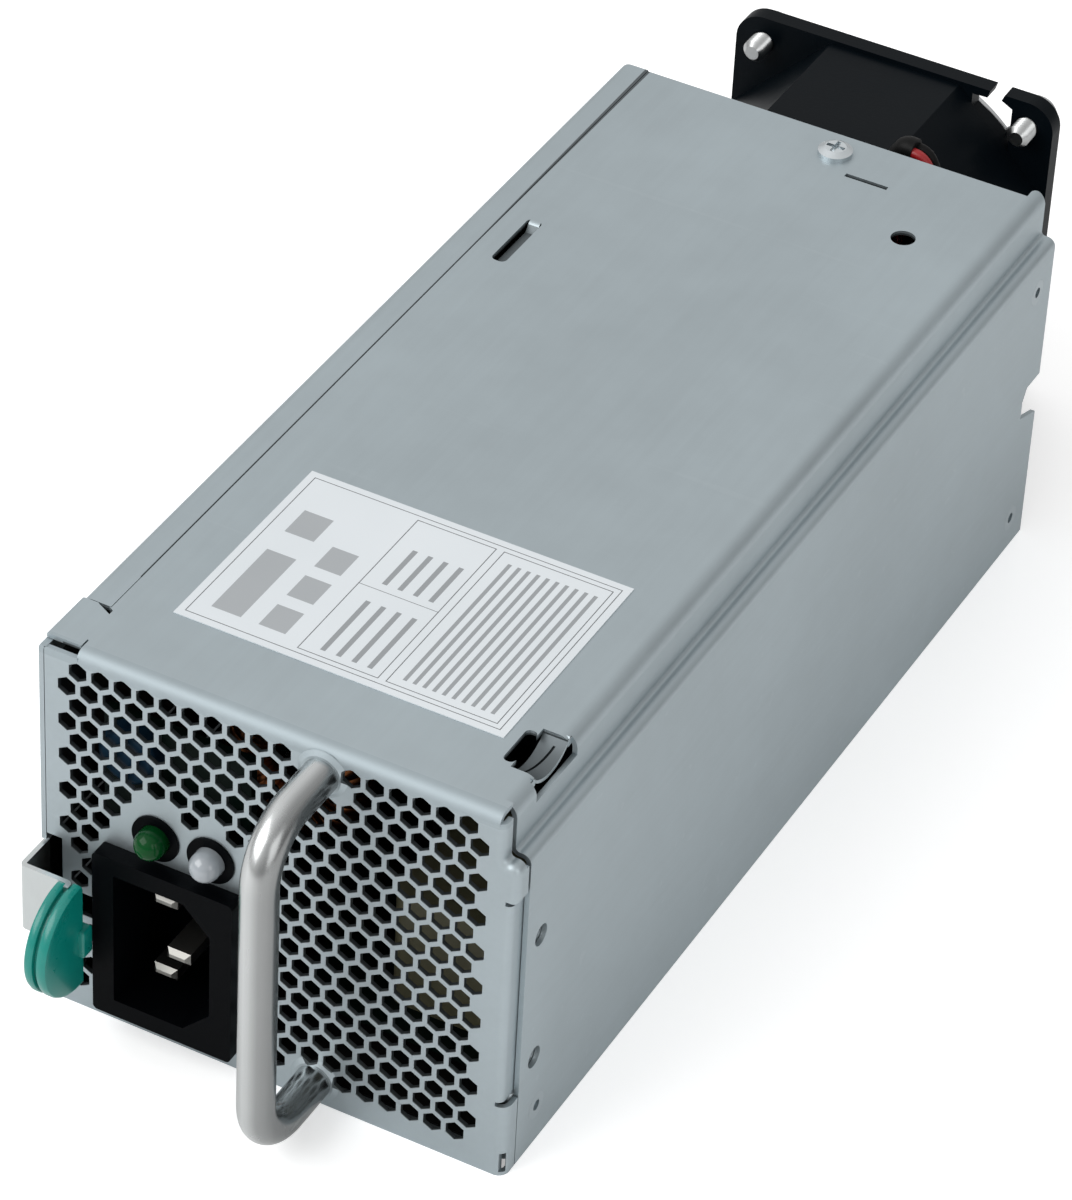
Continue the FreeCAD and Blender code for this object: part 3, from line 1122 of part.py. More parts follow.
def mains_fuse(x, y):
    """Cartridge fuse with end caps, lying along the case."""
    px, py, pz = on_board(x, y)
    z = pz + 3.4
    tube = rod(2.6, 14.0, (px, py - 7.0, z), (0, 1, 0))
    caps = [rod(3.0, 5.0, (px, py + side, z), (0, 1, 0)) for side in (-10.0, 5.0)]
    return fuse_all([tube] + caps)


def heatsink(x, y, length, height, fin):
    """A plate with short fins along its top."""
    px, py, pz = on_board(x, y)
    plate = box((px - 1.5, py - length / 2, pz), (px + 1.5, py + length / 2, pz + height))
    fins = []
    for i in range(4):
        z = pz + height - 1.5 - i * 5.0
        fins.append(box((px - fin, py - length / 2, z - 0.75), (px + fin, py + length / 2, z + 0.75)))
    return fuse_all([plate] + fins)


def transistors(x, y, length, count):
    """Flat packages bolted to a heatsink's plate."""
    packages = []
    for i in range(count):
        py = y - length / 2 + length * (i + 0.5) / count
        packages.append(block(x, py, 4.5, 10.0, 18.0))
    return packages


def output_connector():
    """Upright blade connector that plugs into the bay."""
    half_w = CONNECTOR_W / 2
    half_h = CONNECTOR_H / 2
    front = REAR_FACE - CONNECTOR_L
    body = box((CONNECTOR_X - half_w, front, CONNECTOR_Z - half_h),
               (CONNECTOR_X + half_w, REAR_FACE + CONNECTOR_PROUD, CONNECTOR_Z + half_h))
    pitch = CONNECTOR_H / (CONTACTS + 0.5)
    for i in range(CONTACTS):
        z = CONNECTOR_Z + (i - (CONTACTS - 1) / 2) * pitch
        body = body.cut(box((CONNECTOR_X - 1.2, REAR_FACE - 2.0, z - pitch * 0.3),
                            (CONNECTOR_X + 1.2, REAR_FACE + CONNECTOR_PROUD + 1, z + pitch * 0.3)))
    return body


def output_contacts():
    pitch = CONNECTOR_H / (CONTACTS + 0.5)
    contacts = []
    for i in range(CONTACTS):
        z = CONNECTOR_Z + (i - (CONTACTS - 1) / 2) * pitch
        for side in (-1, 1):
            x = CONNECTOR_X + side * 0.95
            contacts.append(box((x - 0.2, REAR_FACE - 1.99, z - pitch * 0.25),
                                (x + 0.2, REAR_FACE + CONNECTOR_PROUD - 0.6, z + pitch * 0.25)))
    return contacts


def inlet_leads():
    """Leads from the inlet's solder tags down to the board, the lowest tag's nearest."""
    tag = behind(INLET_BODY_L + PIN_TAIL)
    leads = []
    for rank, (x, z, _recess) in enumerate(sorted(pin_places(), key=lambda place: place[1])):
        down_y = tag + 4.0 + 2.6 * rank
        points = [V(x, tag, z), V(x, down_y, z), V(x, down_y, BOARD_TOP)]
        leads.append(tube_along(points, [0, 2.5, 0], LEAD_R))
    return leads


def cover_screw():
    x = LEFT + COVER_SCREW_FROM_LEFT
    return pan_screw((x, BACK - COVER_SCREW_BACK, CASE_H), (0, 0, 1), 5.0)


def side_screws():
    """Countersunk screws, flush with the right wall, with a round socket."""
    screws = []
    for y, z in SIDE_SCREWS:
        seat = V(RIGHT - SHEET, y, z)
        head = Part.makeCone(SCREW_R - PRESS, SCREW_R + SHEET - PRESS, SHEET, seat, V(1, 0, 0))
        shank = rod(SCREW_R, 4.0, (RIGHT - SHEET - 4.0 + 0.01, y, z), (1, 0, 0))
        socket = rod(SCREW_R * 0.6, SHEET + 1, (RIGHT - SHEET, y, z), (1, 0, 0))
        screws.append(head.fuse(shank).removeSplitter().cut(socket))
    return screws


def label():
    x = LEFT + LABEL_FROM_LEFT
    y = behind(LABEL_FRONT)
    return box((x, y, CASE_H), (x + LABEL_W, y + LABEL_L, CASE_H + LABEL_T))


# ---------------------------------------------------------------- build
os.makedirs("parts", exist_ok=True)

export("chassis_base", [chassis_base()])
export("top_cover", [top_cover()])
export("carry_handle", [carry_handle()])
export("handle_screws", handle_screws())
export("inlet_housing", [inlet_housing()])
export("inlet_pins", inlet_pins())
export("lamp_holders", lamp_holders())
export("lamp_green", [lamp(LAMPS_X[0])])
export("lamp_clear", [lamp(LAMPS_X[1])])
export("lamp_board", [lamp_board()])
export("latch_arm", [latch_arm()])
export("latch_tab", [latch_tab()])
export("latch_foot", [latch_foot()])
export("latch_rivets", latch_rivets())
export("fan_frame", [fan_frame()])
export("fan_stator", [fan_stator()])
export("fan_rotor", [fan_rotor()])
export("fan_shaft", [fan_shaft()])
export("fan_screws", fan_screws())
export("fan_mount_screws", fan_mount_screws())
export("fan_guard", [fan_guard()])
export("fan_lead_red", [fan_lead(-1)])
export("fan_lead_black", [fan_lead(1)])
export("lead_sleeve", [lead_sleeve()])
export("main_board", [main_board()])
export("standoffs", standoffs())
export("board_screws", board_screws())
export("insulating_film", [insulating_film()])
export("mains_choke", [choke(18.6, 44.0, 13.0, 4.0, 12.0)])
export("suppression_capacitor", [suppression_capacitor()])
export("filter_capacitor", [block(59.2, 30.0, 18.0, 26.0, 22.0, 2.0)])
export("mains_fuse", [mains_fuse(70.0, 53.0)])
export("bridge_rectifier", [block(50.0, 52.5, 22.0, 4.6, 20.0)])
export("bulk_capacitors", [can(20.0, 75.0, 14.0, 48.0), can(55.0, 75.0, 14.0, 48.0)])
export("primary_heatsink", [heatsink(37.5, 112.0, 38.0, 46.0, 6.0)])
export("primary_switches", transistors(33.6, 112.0, 34.0, 3))
export("transformer_core", [transformer_core(57.5, 112.0)])
export("transformer_winding", [transformer_winding(57.5, 112.0)])
export("secondary_heatsink", [heatsink(45.0, 150.0, 26.0, 40.0, 5.0)])
export("secondary_switches", transistors(48.9, 150.0, 24.0, 2))
export("output_choke", [choke(22.0, 141.0, 12.0, 4.0, 11.0)])
export("output_capacitors", [can(10.0 + 11.0 * i, 159.0, 4.9, 24.0) for i in range(3)])
export("control_board", [block(66.0, 148.0, 1.6, 26.0, 30.0)])
export("output_connector", [output_connector()])
export("output_contacts", output_contacts())
export("inlet_leads", inlet_leads())
export("cover_screw", [cover_screw()])
export("side_screws", side_screws())
export("label", [label()])
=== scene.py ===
# %% [markdown]
# # Hot-swap server power supply
#
# A server power supply is a long folded steel box that slides into a bay. This lesson dresses a
# CAD model of one: the CAD keeps the sizes and the joints, and Blender gives every surface its
# finish.

# %% Load the frame
import math
import bmesh
import bpy
from mathutils import Matrix, Vector


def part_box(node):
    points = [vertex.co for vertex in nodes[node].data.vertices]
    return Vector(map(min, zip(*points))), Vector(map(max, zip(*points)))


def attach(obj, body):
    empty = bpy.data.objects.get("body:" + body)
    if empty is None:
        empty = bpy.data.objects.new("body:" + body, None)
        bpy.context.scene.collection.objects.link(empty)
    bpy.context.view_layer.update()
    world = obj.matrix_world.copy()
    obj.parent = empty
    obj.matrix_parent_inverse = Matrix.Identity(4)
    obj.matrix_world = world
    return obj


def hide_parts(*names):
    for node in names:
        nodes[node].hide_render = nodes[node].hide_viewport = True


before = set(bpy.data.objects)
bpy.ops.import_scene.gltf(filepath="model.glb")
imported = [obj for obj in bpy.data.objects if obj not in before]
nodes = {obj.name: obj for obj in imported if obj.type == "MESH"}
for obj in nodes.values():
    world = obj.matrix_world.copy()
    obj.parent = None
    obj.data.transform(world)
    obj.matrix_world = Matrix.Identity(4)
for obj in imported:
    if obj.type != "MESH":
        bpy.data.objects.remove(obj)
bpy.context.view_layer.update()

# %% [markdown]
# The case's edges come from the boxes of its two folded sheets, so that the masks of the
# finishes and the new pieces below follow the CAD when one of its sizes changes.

MM = 0.001


def box(node_name):
    """The two corners of a CAD node's box."""
    return [Vector(corner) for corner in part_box(node_name)]


case_low, case_high = box("chassis_base")
TOP_Z = case_high.z
LEFT_X = case_low.x
FRONT_Y = case_low.y
RIGHT_X = box("top_cover")[1].x
BACK_Y = box("top_cover")[1].y
print("case", round((RIGHT_X - LEFT_X) / MM, 1), "wide", round(TOP_Z / MM, 1), "high")

# %% [markdown]
# ## Camera
#
# A long lens from well above the front right corner flattens the perspective, as is usual for
# product pictures. The camera is placed by where it aims, how far back it stands and its three
# angles, because these are the numbers that one would read off a tripod.

# %% Camera
AIM = Vector((-0.0021, -0.0074, 0.0342))
DISTANCE = 0.858
TURN = math.radians(26.50)
TILT = math.radians(38.28)
ROLL = math.radians(3.16)
LENS = 164.4

camera_data = bpy.data.cameras.new("camera")
camera_data.lens = LENS
camera_data.sensor_width = 36.0
camera_data.clip_start = 0.01
camera = bpy.data.objects.new("camera", camera_data)
bpy.context.collection.objects.link(camera)
aim_turn = Matrix.Rotation(TURN, 4, "Z") @ Matrix.Rotation(math.pi / 2 - TILT, 4, "X")
aim_turn = aim_turn @ Matrix.Rotation(ROLL, 4, "Z")
camera.matrix_world = Matrix.Translation(AIM) @ aim_turn @ Matrix.Translation((0, 0, DISTANCE))
bpy.context.scene.camera = camera
print("camera at", [round(c, 4) for c in camera.matrix_world.translation])

# %% [markdown]
# ## Shader maths
#
# Procedural finishes are sums of masks. Wrapping a socket in a small class lets a line such as
# `1 - mask * 0.3` add its Math nodes by itself, so a material reads like the recipe it is.

# %% A socket that can be calculated with
class Value:
    """A node's output, which Python's operators can calculate with."""
    def __init__(self, recipe, socket):
        self.recipe = recipe
        self.socket = socket

    def maths(self, operation, *inputs):
        return self.recipe.maths(operation, *inputs)

    def __add__(self, other):
        return self.maths("ADD", self, other)

    def __radd__(self, other):
        return self.maths("ADD", other, self)

    def __sub__(self, other):
        return self.maths("SUBTRACT", self, other)

    def __rsub__(self, other):
        return self.maths("SUBTRACT", other, self)

    def __mul__(self, other):
        return self.maths("MULTIPLY", self, other)

    def __rmul__(self, other):
        return self.maths("MULTIPLY", other, self)

    def __mod__(self, other):
        return self.maths("FLOORED_MODULO", self, other)

    def __gt__(self, other):
        return self.maths("GREATER_THAN", self, other)

    def __lt__(self, other):
        return self.maths("LESS_THAN", self, other)

# %% [markdown]
# A recipe is a node tree with one method that adds any node. The world and the materials both
# use it; a material's recipe, called a finish, also sets the sockets of its Principled shader.

# %% Recipes and finishes
class Recipe:
    """A node tree that grows by one node at a time."""
    def __init__(self, tree):
        self.tree = tree

    def maths(self, operation, *inputs):
        return self.node("ShaderNodeMath", {"operation": operation}, dict(enumerate(inputs)))

    def node(self, kind, settings=None, sockets=None, output=0):
        """Add a node; sockets are given by name or number, as values or links."""
        node = self.tree.nodes.new(kind)
        for name, value in (settings or {}).items():
            if name == "stops":
                fill_ramp(node.color_ramp, value)
            else:
                setattr(node, name, value)
        for name, value in (sockets or {}).items():
            if isinstance(value, Value):
                self.tree.links.new(value.socket, node.inputs[name])
            else:
                node.inputs[name].default_value = value
        return Value(self, node.outputs[output])

    def axes(self, output="Object"):
        """The three numbers of a position, each as a value."""
        place = {0: self.node("ShaderNodeTexCoord", output=output)}
        return [self.node("ShaderNodeSeparateXYZ", sockets=place, output=axis)
                for axis in range(3)]

    def noise(self, per_metre, detail=3.0, stretch=(1, 1, 1)):
        """Cloudy noise between 0 and 1; a stretch below 1 draws it out along that axis."""
        place = self.node("ShaderNodeTexCoord", output="Object")
        mapped = self.node("ShaderNodeMapping", sockets={"Vector": place, "Scale": stretch})
        sockets = {"Vector": mapped, "Scale": per_metre, "Detail": detail}
        return self.node("ShaderNodeTexNoise", sockets=sockets)

    def ramp(self, value, stops):
        """Shape a value through a ramp with (position, grey) stops."""
        return self.node("ShaderNodeValToRGB", {"stops": stops}, {"Fac": value})

    def fade(self, value, low, high, from_value=0.0, to_value=1.0):
        """Follow a value from one number to another between its low and its high end."""
        sockets = dict(enumerate([value, low, high, from_value, to_value]))
        return self.node("ShaderNodeMapRange", sockets=sockets)

    def mix(self, mask, first, second):
        """Blend two colours by a mask."""
        colours = {0: mask, 6: colour_or_link(first), 7: colour_or_link(second)}
        return self.node("ShaderNodeMix", {"data_type": "RGBA"}, colours, output=2)


class Finish(Recipe):
    """A new material and its shader, with a plain colour to start from."""
    def __init__(self, name, colour, roughness, metallic=0.0, **sockets):
        self.material = bpy.data.materials.new(name)
        self.material.use_nodes = True
        super().__init__(self.material.node_tree)
        self.shader = self.tree.nodes["Principled BSDF"]
        self.set("Base Color", (*colour, 1.0))
        self.set("Roughness", roughness)
        self.set("Metallic", metallic)
        for socket, value in sockets.items():
            self.set(socket.replace("_", " "), value)

    def set(self, socket, value):
        """Give one of the shader's sockets a number, a colour or a link."""
        if isinstance(value, Value):
            self.tree.links.new(value.socket, self.shader.inputs[socket])
        else:
            self.shader.inputs[socket].default_value = value

    def bump(self, height, distance, strength=1.0):
        """Raise the surface by a height value."""
        relief = {"Height": height, "Distance": distance, "Strength": strength}
        self.set("Normal", self.node("ShaderNodeBump", sockets=relief))


def fill_ramp(ramp, stops):
    """Give a ramp its (position, grey) stops."""
    while len(ramp.elements) < len(stops):
        ramp.elements.new(0.5)
    for element, (position, grey) in zip(ramp.elements, stops):
        element.position = position
        element.color = (grey, grey, grey, 1.0)


def colour_or_link(colour):
    """A colour socket takes a link as it is, and a colour with an alpha of 1."""
    return colour if isinstance(colour, Value) else (*colour, 1.0)


def between(value, low, high):
    """A mask that is 1 where the value lies between the two ends."""
    return (value > low) * (value < high)


def shade(colour, factor):
    """A colour made darker or lighter."""
    return tuple(min(1.0, channel * factor) for channel in colour)

# %% [markdown]
# ## Zinc-plated sheet
#
# The case is cold-rolled steel with a thin zinc coat. It is satin rather than mirror-like, a
# little blue, and never quite even: the coat clouds over a few centimetres, the rolling leaves
# a faint grain along the case, and handling leaves hair scratches. An image of scratched steel
# could be wrapped round the case, but it would stretch at the folds, so noises at those scales
# drive colour and roughness, and a very low bump catches the light.
#
# Places where the coat's colour is darkened are masks on the position. The strips that the
# lancing tool bends below the top are darkened as painted shade. The seam beside the left
# flange gets a painted shadow, wider towards the back, where the cover lifts a little. The
# inside of the left wall, round the latch's window, is darkened as painted shade. The walls of
# the front's holes are darker: bare steel where the punch tore the coat, and painted shade.

# %% Where shade is painted on the coat
SEAM_X = LEFT_X + 5.0 * MM
SHEET_DEPTH = 0.9 * MM
WINDOW_FRONT_Y = FRONT_Y + 9.2 * MM
WINDOW_BACK_Y = FRONT_Y + 21.4 * MM


def shade_on_lanced_strips(x, y, z):
    """The strips below the top, and the finger in its window, which reaches farther right."""
    # Painted shade: these strips are darkened where they bend down below the top.
    right_end = between(y, WINDOW_FRONT_Y, WINDOW_BACK_Y) * 1.6 * MM + (RIGHT_X - 5.2 * MM)
    along_case = between(y, FRONT_Y + 1.5 * MM, BACK_Y - 1.5 * MM)
    below_top = between(z, TOP_Z - 6.0 * MM, TOP_Z - 0.45 * MM)
    return along_case * below_top * between(x, LEFT_X + 3.0 * MM, right_end)


def seam_shadow(finish, x, y, z):
    """A painted shadow on the seam, which widens over its last part."""
    half_width = finish.fade(y, BACK_Y - 60 * MM, BACK_Y, 0.14 * MM, 0.55 * MM)
    on_seam = finish.maths("ABSOLUTE", x - SEAM_X) < half_width
    return on_seam * (z > TOP_Z - 0.3 * MM) * (y > FRONT_Y + 20 * MM)


def shade_inside_left_wall(x, y, z):
    """The inside of the left wall and the cut edges of its window, but not its outer face."""
    # Painted shade: the inside of the case is darkened here.
    inside = between(x, LEFT_X + 0.12 * MM, LEFT_X + 1.1 * MM)
    height = between(z, 1.5 * MM, TOP_Z - 5.0 * MM)
    return inside * height * between(y, FRONT_Y + 1.5 * MM, BACK_Y - 2.0 * MM)


def punched_walls_bare_and_shaded(x, y, z):
    """What lies within the thickness of the front sheet, away from its folds."""
    # Bare steel of the punched holes, darkened further as painted shade.
    depth = between(y, FRONT_Y + 0.14 * MM, FRONT_Y + SHEET_DEPTH)
    across = between(x, LEFT_X + 1.5 * MM, RIGHT_X - 4.0 * MM)
    return depth * across * between(z, 2.0 * MM, TOP_Z - 3.5 * MM)


print("seam", round((SEAM_X - LEFT_X) / MM, 2), "from the left wall")

# %% [markdown]
# The painted shade and the bare steel go over the coat one after another, each with how much of
# it shows and how dark it is. A bend stretches the coat, so the fold at the front's top edge is
# rougher and spreads its highlight.

# %% Zinc
def zinc_sheet(name, colour, punched_front=False):
    finish = Finish(name, colour, 0.42, 1.0)
    cloud = finish.noise(22, detail=4)
    blotch = finish.noise(140, detail=3)
    grain = finish.noise(900, detail=2, stretch=(1, 0.05, 1))
    speckle = finish.noise(2600, detail=1)
    scratches = finish.noise(420, detail=2, stretch=(0.04, 1, 1))
    hair = finish.ramp(scratches, [(0.0, 0.0), (0.69, 0.0), (0.74, 1.0)])
    x, y, z = finish.axes()
    shade_and_bare_steel = [(shade_on_lanced_strips(x, y, z), 0.72, 0.12), (seam_shadow(finish, x, y, z), 0.75, 0.06),
            (shade_inside_left_wall(x, y, z), 0.85, 0.08)]
    if punched_front:
        shade_and_bare_steel.append((punched_walls_bare_and_shaded(x, y, z), 0.80, 0.16))
    tone = cloud * 0.55 + blotch * 0.25 + grain * 0.20
    coat = finish.mix(tone, shade(colour, 0.80), shade(colour, 1.20))
    for mask, amount, darkness in shade_and_bare_steel:
        coat = finish.mix(mask * amount, coat, shade(colour, darkness))
    finish.set("Base Color", coat)
    fold = (z > TOP_Z - 2.4 * MM) * (y < FRONT_Y + 2.4 * MM)
    satin = 0.43 + cloud * 0.08 + blotch * 0.06 + grain * 0.05
    finish.set("Roughness", satin - hair * 0.06 + fold * 0.16)
    finish.bump(speckle * 0.45 + grain * 0.55 - hair * 0.6, 0.00002, 0.32)
    return finish.material


CASE_ZINC = (0.425, 0.482, 0.508)
zinc = zinc_sheet("zinc_plated_steel", CASE_ZINC)
punched_zinc = zinc_sheet("punched_zinc_steel", CASE_ZINC, punched_front=True)
print("zinc", zinc.name, punched_zinc.name)

# %% [markdown]
# ## Bright metals
#
# The latch strip is bare spring steel, the screws are plated bright, and the blades are tinned.
# All are the same recipe with other colours, gloss and streaks: one noise drawn out along the
# working direction, and one of slow stains. The part of the latch strip that lies within the
# case is darkened almost to black as painted shade for the inside of the case.

# %% Plated and bare metals
EVEN = (1, 1, 1)
ALONG_CASE = (1, 0.05, 1)


def worked_metal(name, colour, roughness, stretch=EVEN, contrast=0.75, relief=0.4,
                 shaded_inside=False):
    finish = Finish(name, colour, roughness, 1.0)
    streak = finish.noise(700, detail=3, stretch=stretch)
    stain = finish.noise(60, detail=3)
    tone = streak * 0.5 + stain * 0.5
    coat = finish.mix(tone, shade(colour, contrast), shade(colour, 1.08))
    if shaded_inside:
        # Painted shade: what lies inside the case is darkened.
        x, y, z = finish.axes()
        inside = (x > LEFT_X + 0.1 * MM) * (y > FRONT_Y + 1.0 * MM)
        coat = finish.mix(inside * 0.9, coat, shade(colour, 0.06))
    finish.set("Base Color", coat)
    finish.set("Roughness", roughness - 0.07 + streak * 0.09 + stain * 0.08)
    finish.bump(streak, 0.00001, relief)
    return finish.material


spring_steel = worked_metal("spring_steel", (0.58, 0.61, 0.61), 0.28, (1, 0.06, 0.3),
                            contrast=0.90, relief=0.08, shaded_inside=True)
bright_steel = worked_metal("plated_screw", (0.48, 0.49, 0.49), 0.27)
zinc_screw = worked_metal("zinc_screw", (0.62, 0.66, 0.68), 0.32, contrast=0.85)
flush_screw = worked_metal("flush_screw", shade(CASE_ZINC, 1.04), 0.40, contrast=0.80)
tinned_brass = worked_metal("tinned_brass", (0.27, 0.265, 0.25), 0.34, (1, 0.1, 1))
aluminium = worked_metal("drawn_aluminium", (0.50, 0.51, 0.52), 0.40, ALONG_CASE)
chrome_wire = worked_metal("plated_wire", (0.62, 0.63, 0.64), 0.22)
copper = worked_metal("enamelled_copper", (0.42, 0.15, 0.055), 0.34)
print("metals", spring_steel.name, bright_steel.name, tinned_brass.name, copper.name)

# %% [markdown]
# The bar's colour carries painted light: a ramp across its thickness paints a highlight left of
# its middle and painted shade at its edges, darkest on the side towards the case's right wall.
# Fine streaks go over it and follow the bar: along the grip on the upright part, and towards the
# case on the two legs.

# %% Handle bar
GRIP_DEPTH = 8 * MM
LIGHT_ACROSS_BAR = [(0.0, 0.45), (0.16, 0.70), (0.36, 1.0), (0.52, 0.84), (0.74, 0.42), (1.0, 0.26)]
bar_low, bar_high = box("carry_handle")


def bar_with_painted_light(name, colour):
    finish = Finish(name, colour, 0.24, 1.0)
    x, y, z = finish.axes()
    # Painted light: a highlight and shade across the bar's thickness.
    painted_light = finish.ramp(finish.fade(x, bar_low.x, bar_high.x), LIGHT_ACROSS_BAR)
    upright = y < bar_low.y + GRIP_DEPTH
    streak = finish.noise(900, detail=2, stretch=(1, 1, 0.03)) * upright
    streak = streak + finish.noise(900, detail=2, stretch=(1, 0.03, 1)) * (1 - upright)
    cloud = finish.noise(90, detail=2)
    tone = painted_light * 0.86 + streak * 0.08 + cloud * 0.06
    finish.set("Base Color", finish.mix(tone, shade(colour, 0.20), shade(colour, 1.12)))
    finish.set("Roughness", 0.22 + streak * 0.05 + cloud * 0.04)
    finish.bump(streak, 0.000005, 0.15)
    return finish.material


nickel = bar_with_painted_light("nickel_plated_bar", (0.57, 0.585, 0.585))
print("bar", round((bar_high.x - bar_low.x) / MM, 2), "thick")

# %% [markdown]
# ## Moulded plastics
#
# Moulded parts take the texture of their mould. A fine grain in the bump breaks the gloss up,
# and a slow noise in the roughness stops the surface from looking like wet paint. Black
# plastics reflect little, so their specular level is set below the default: least for the
# inlet, which is matt inside and out, and a little more for the fan.

# %% Plastics
def moulded(name, colour, roughness, grain_per_metre=2500, depth=0.00002, **sockets):
    finish = Finish(name, colour, roughness, **sockets)
    grain = finish.noise(grain_per_metre, detail=2)
    wear = finish.noise(90, detail=3)
    finish.set("Base Color", finish.mix(wear, shade(colour, 0.8), shade(colour, 1.3)))
    finish.set("Roughness", roughness - 0.06 + wear * 0.12 + grain * 0.05)
    finish.bump(grain, depth, 0.5)
    return finish.material


BLACK = {"Specular_IOR_Level": 0.11}
black_nylon = moulded("black_nylon", (0.0012, 0.0016, 0.0022), 0.36, Specular_IOR_Level=0.035)
fan_plastic = moulded("fan_plastic", (0.0016, 0.0032, 0.0048), 0.36, 1800, 0.00003,
                      Specular_IOR_Level=0.06)
package_black = moulded("package_black", (0.008, 0.008, 0.008), 0.5, **BLACK)
black_lead = moulded("black_lead", (0.006, 0.006, 0.006), 0.42, **BLACK)
capacitor_sleeve = moulded("capacitor_sleeve", (0.008, 0.008, 0.012), 0.3, **BLACK)
ferrite = moulded("ferrite", (0.016, 0.015, 0.015), 0.6, 1200, 0.00005, **BLACK)
teal_nylon = moulded("teal_nylon", (0.001, 0.205, 0.170), 0.26, 900, 0.00001,
                     Coat_Weight=0.12)
blue_epoxy = moulded("blue_epoxy", (0.006, 0.022, 0.042), 0.35, **BLACK)
yellow_tape = moulded("yellow_tape", (0.100, 0.095, 0.055), 0.40, 500, 0.00008)
# The film is drawn near black: painted shade for the inside of the case.
shaded_film = moulded("shaded_film", (0.008, 0.008, 0.008), 0.5, **BLACK)
red_lead = moulded("red_lead", (0.30, 0.008, 0.010), 0.36)
ceramic = moulded("fuse_ceramic", (0.35, 0.33, 0.29), 0.45)
# The solder mask is darkened nearly to black: painted shade for the inside of the case.
shaded_solder_mask = moulded("shaded_solder_mask", (0.002, 0.007, 0.005), 0.42, **BLACK)
print("plastics", black_nylon.name, fan_plastic.name, teal_nylon.name)

# %% [markdown]
# ## Lamp lenses
#
# A lamp that is off is a tinted epoxy dome with a dark cup inside. The dome looks darker at its
# root, where the cup shows through, and lighter towards the tip, so the colour follows the
# position along the lamp.

# %% Lenses
lamp_tip_y = box("lamp_green")[0].y
DOME_DEPTH = 5 * MM


def lens(name, root_colour, tip_colour, **sockets):
    finish = Finish(name, tip_colour, 0.12, **sockets)
    x, y, z = finish.axes()
    forward = finish.fade(y, lamp_tip_y + DOME_DEPTH, lamp_tip_y)
    swirl = finish.noise(160, detail=1)
    finish.set("Base Color", finish.mix(forward * 0.9 + swirl * 0.1, root_colour, tip_colour))
    finish.set("Roughness", 0.10 + swirl * 0.06)
    return finish.material


green_lens = lens("green_lens", (0.001, 0.012, 0.003), (0.001, 0.060, 0.012),
                  Specular_IOR_Level=0.16)
clear_lens = lens("clear_lens", (0.17, 0.19, 0.20), (0.36, 0.39, 0.42),
                  Coat_Weight=0.6, Coat_Roughness=0.05)
print("lens tip", round(lamp_tip_y / MM, 2))

# %% [markdown]
# ## Rating label
#
# The label is a satin film with printed rules. Nothing is written on it: thin dark rules frame
# its fields, and plain grey bars and blocks stand where a printed label has its values and
# marks. Each rule is a band in x or y, so the print is made of comparisons alone and needs
# neither an image nor a UV map. Its numbers are millimetres from the label's front left corner.

# %% Printed film
label_low, label_high = box("label")
BLOCKS = [(4.0, 9.0, 4.0, 20.0), (12.0, 16.5, 4.0, 9.5), (12.0, 16.5, 12.0, 17.5),
          (4.0, 9.0, 25.0, 31.0), (12.0, 16.5, 20.0, 25.5)]
FRAMES = [(1.2, 53.6, 1.2, 38.8), (19.5, 33.0, 2.2, 37.8), (34.2, 52.6, 2.2, 37.8)]
RULE = 0.16
INK = (0.03, 0.032, 0.036)


def printed_film(name):
    finish = Finish(name, (0.60, 0.64, 0.67), 0.36, Coat_Weight=0.15)
    x, y, z = finish.axes()
    across = x * 1000.0 - label_low.x / MM
    along = y * 1000.0 - label_low.y / MM

    def field(x0, x1, y0, y1):
        return between(across, x0, x1) * between(along, y0, y1)

    rules = field(19.5, 33.0, 20.0, 20.12)
    for x0, x1, y0, y1 in FRAMES:
        rules = rules + field(x0, x1, y0, y1) - field(x0 + RULE, x1 - RULE, y0 + RULE, y1 - RULE)
    short_fields = field(21.0, 32.0, 3.6, 17.0) + field(21.0, 32.0, 21.6, 31.0)
    short_bars = short_fields * ((across % 2.6) > 1.75)
    long_bars = field(35.6, 51.6, 3.8, 35.5) * ((across % 1.6) > 0.95)
    blocks = sum(field(*block) for block in BLOCKS)
    print_mask = rules * 0.85 + short_bars * 0.62 + long_bars * 0.60 + blocks * 0.50
    cloud = finish.noise(60, detail=2)
    film = finish.mix(cloud, (0.60, 0.64, 0.665), (0.67, 0.705, 0.73))
    finish.set("Base Color", finish.mix(print_mask, film, INK))
    finish.set("Roughness", 0.33 + cloud * 0.10 - print_mask * 0.05)
    finish.bump(finish.noise(800, detail=2), 0.00001, 0.4)
    return finish.material


label_film = printed_film("label_film")
label_size = (label_high - label_low) / MM
print("label", round(label_size.x, 1), "by", round(label_size.y, 1))

# %% [markdown]
# ## Dressing the CAD pieces
#
# A table gives each CAD node its finish: the case first, then what its front carries, the fan,
# and the board with its parts. The nodes' shapes stay as the CAD made them.

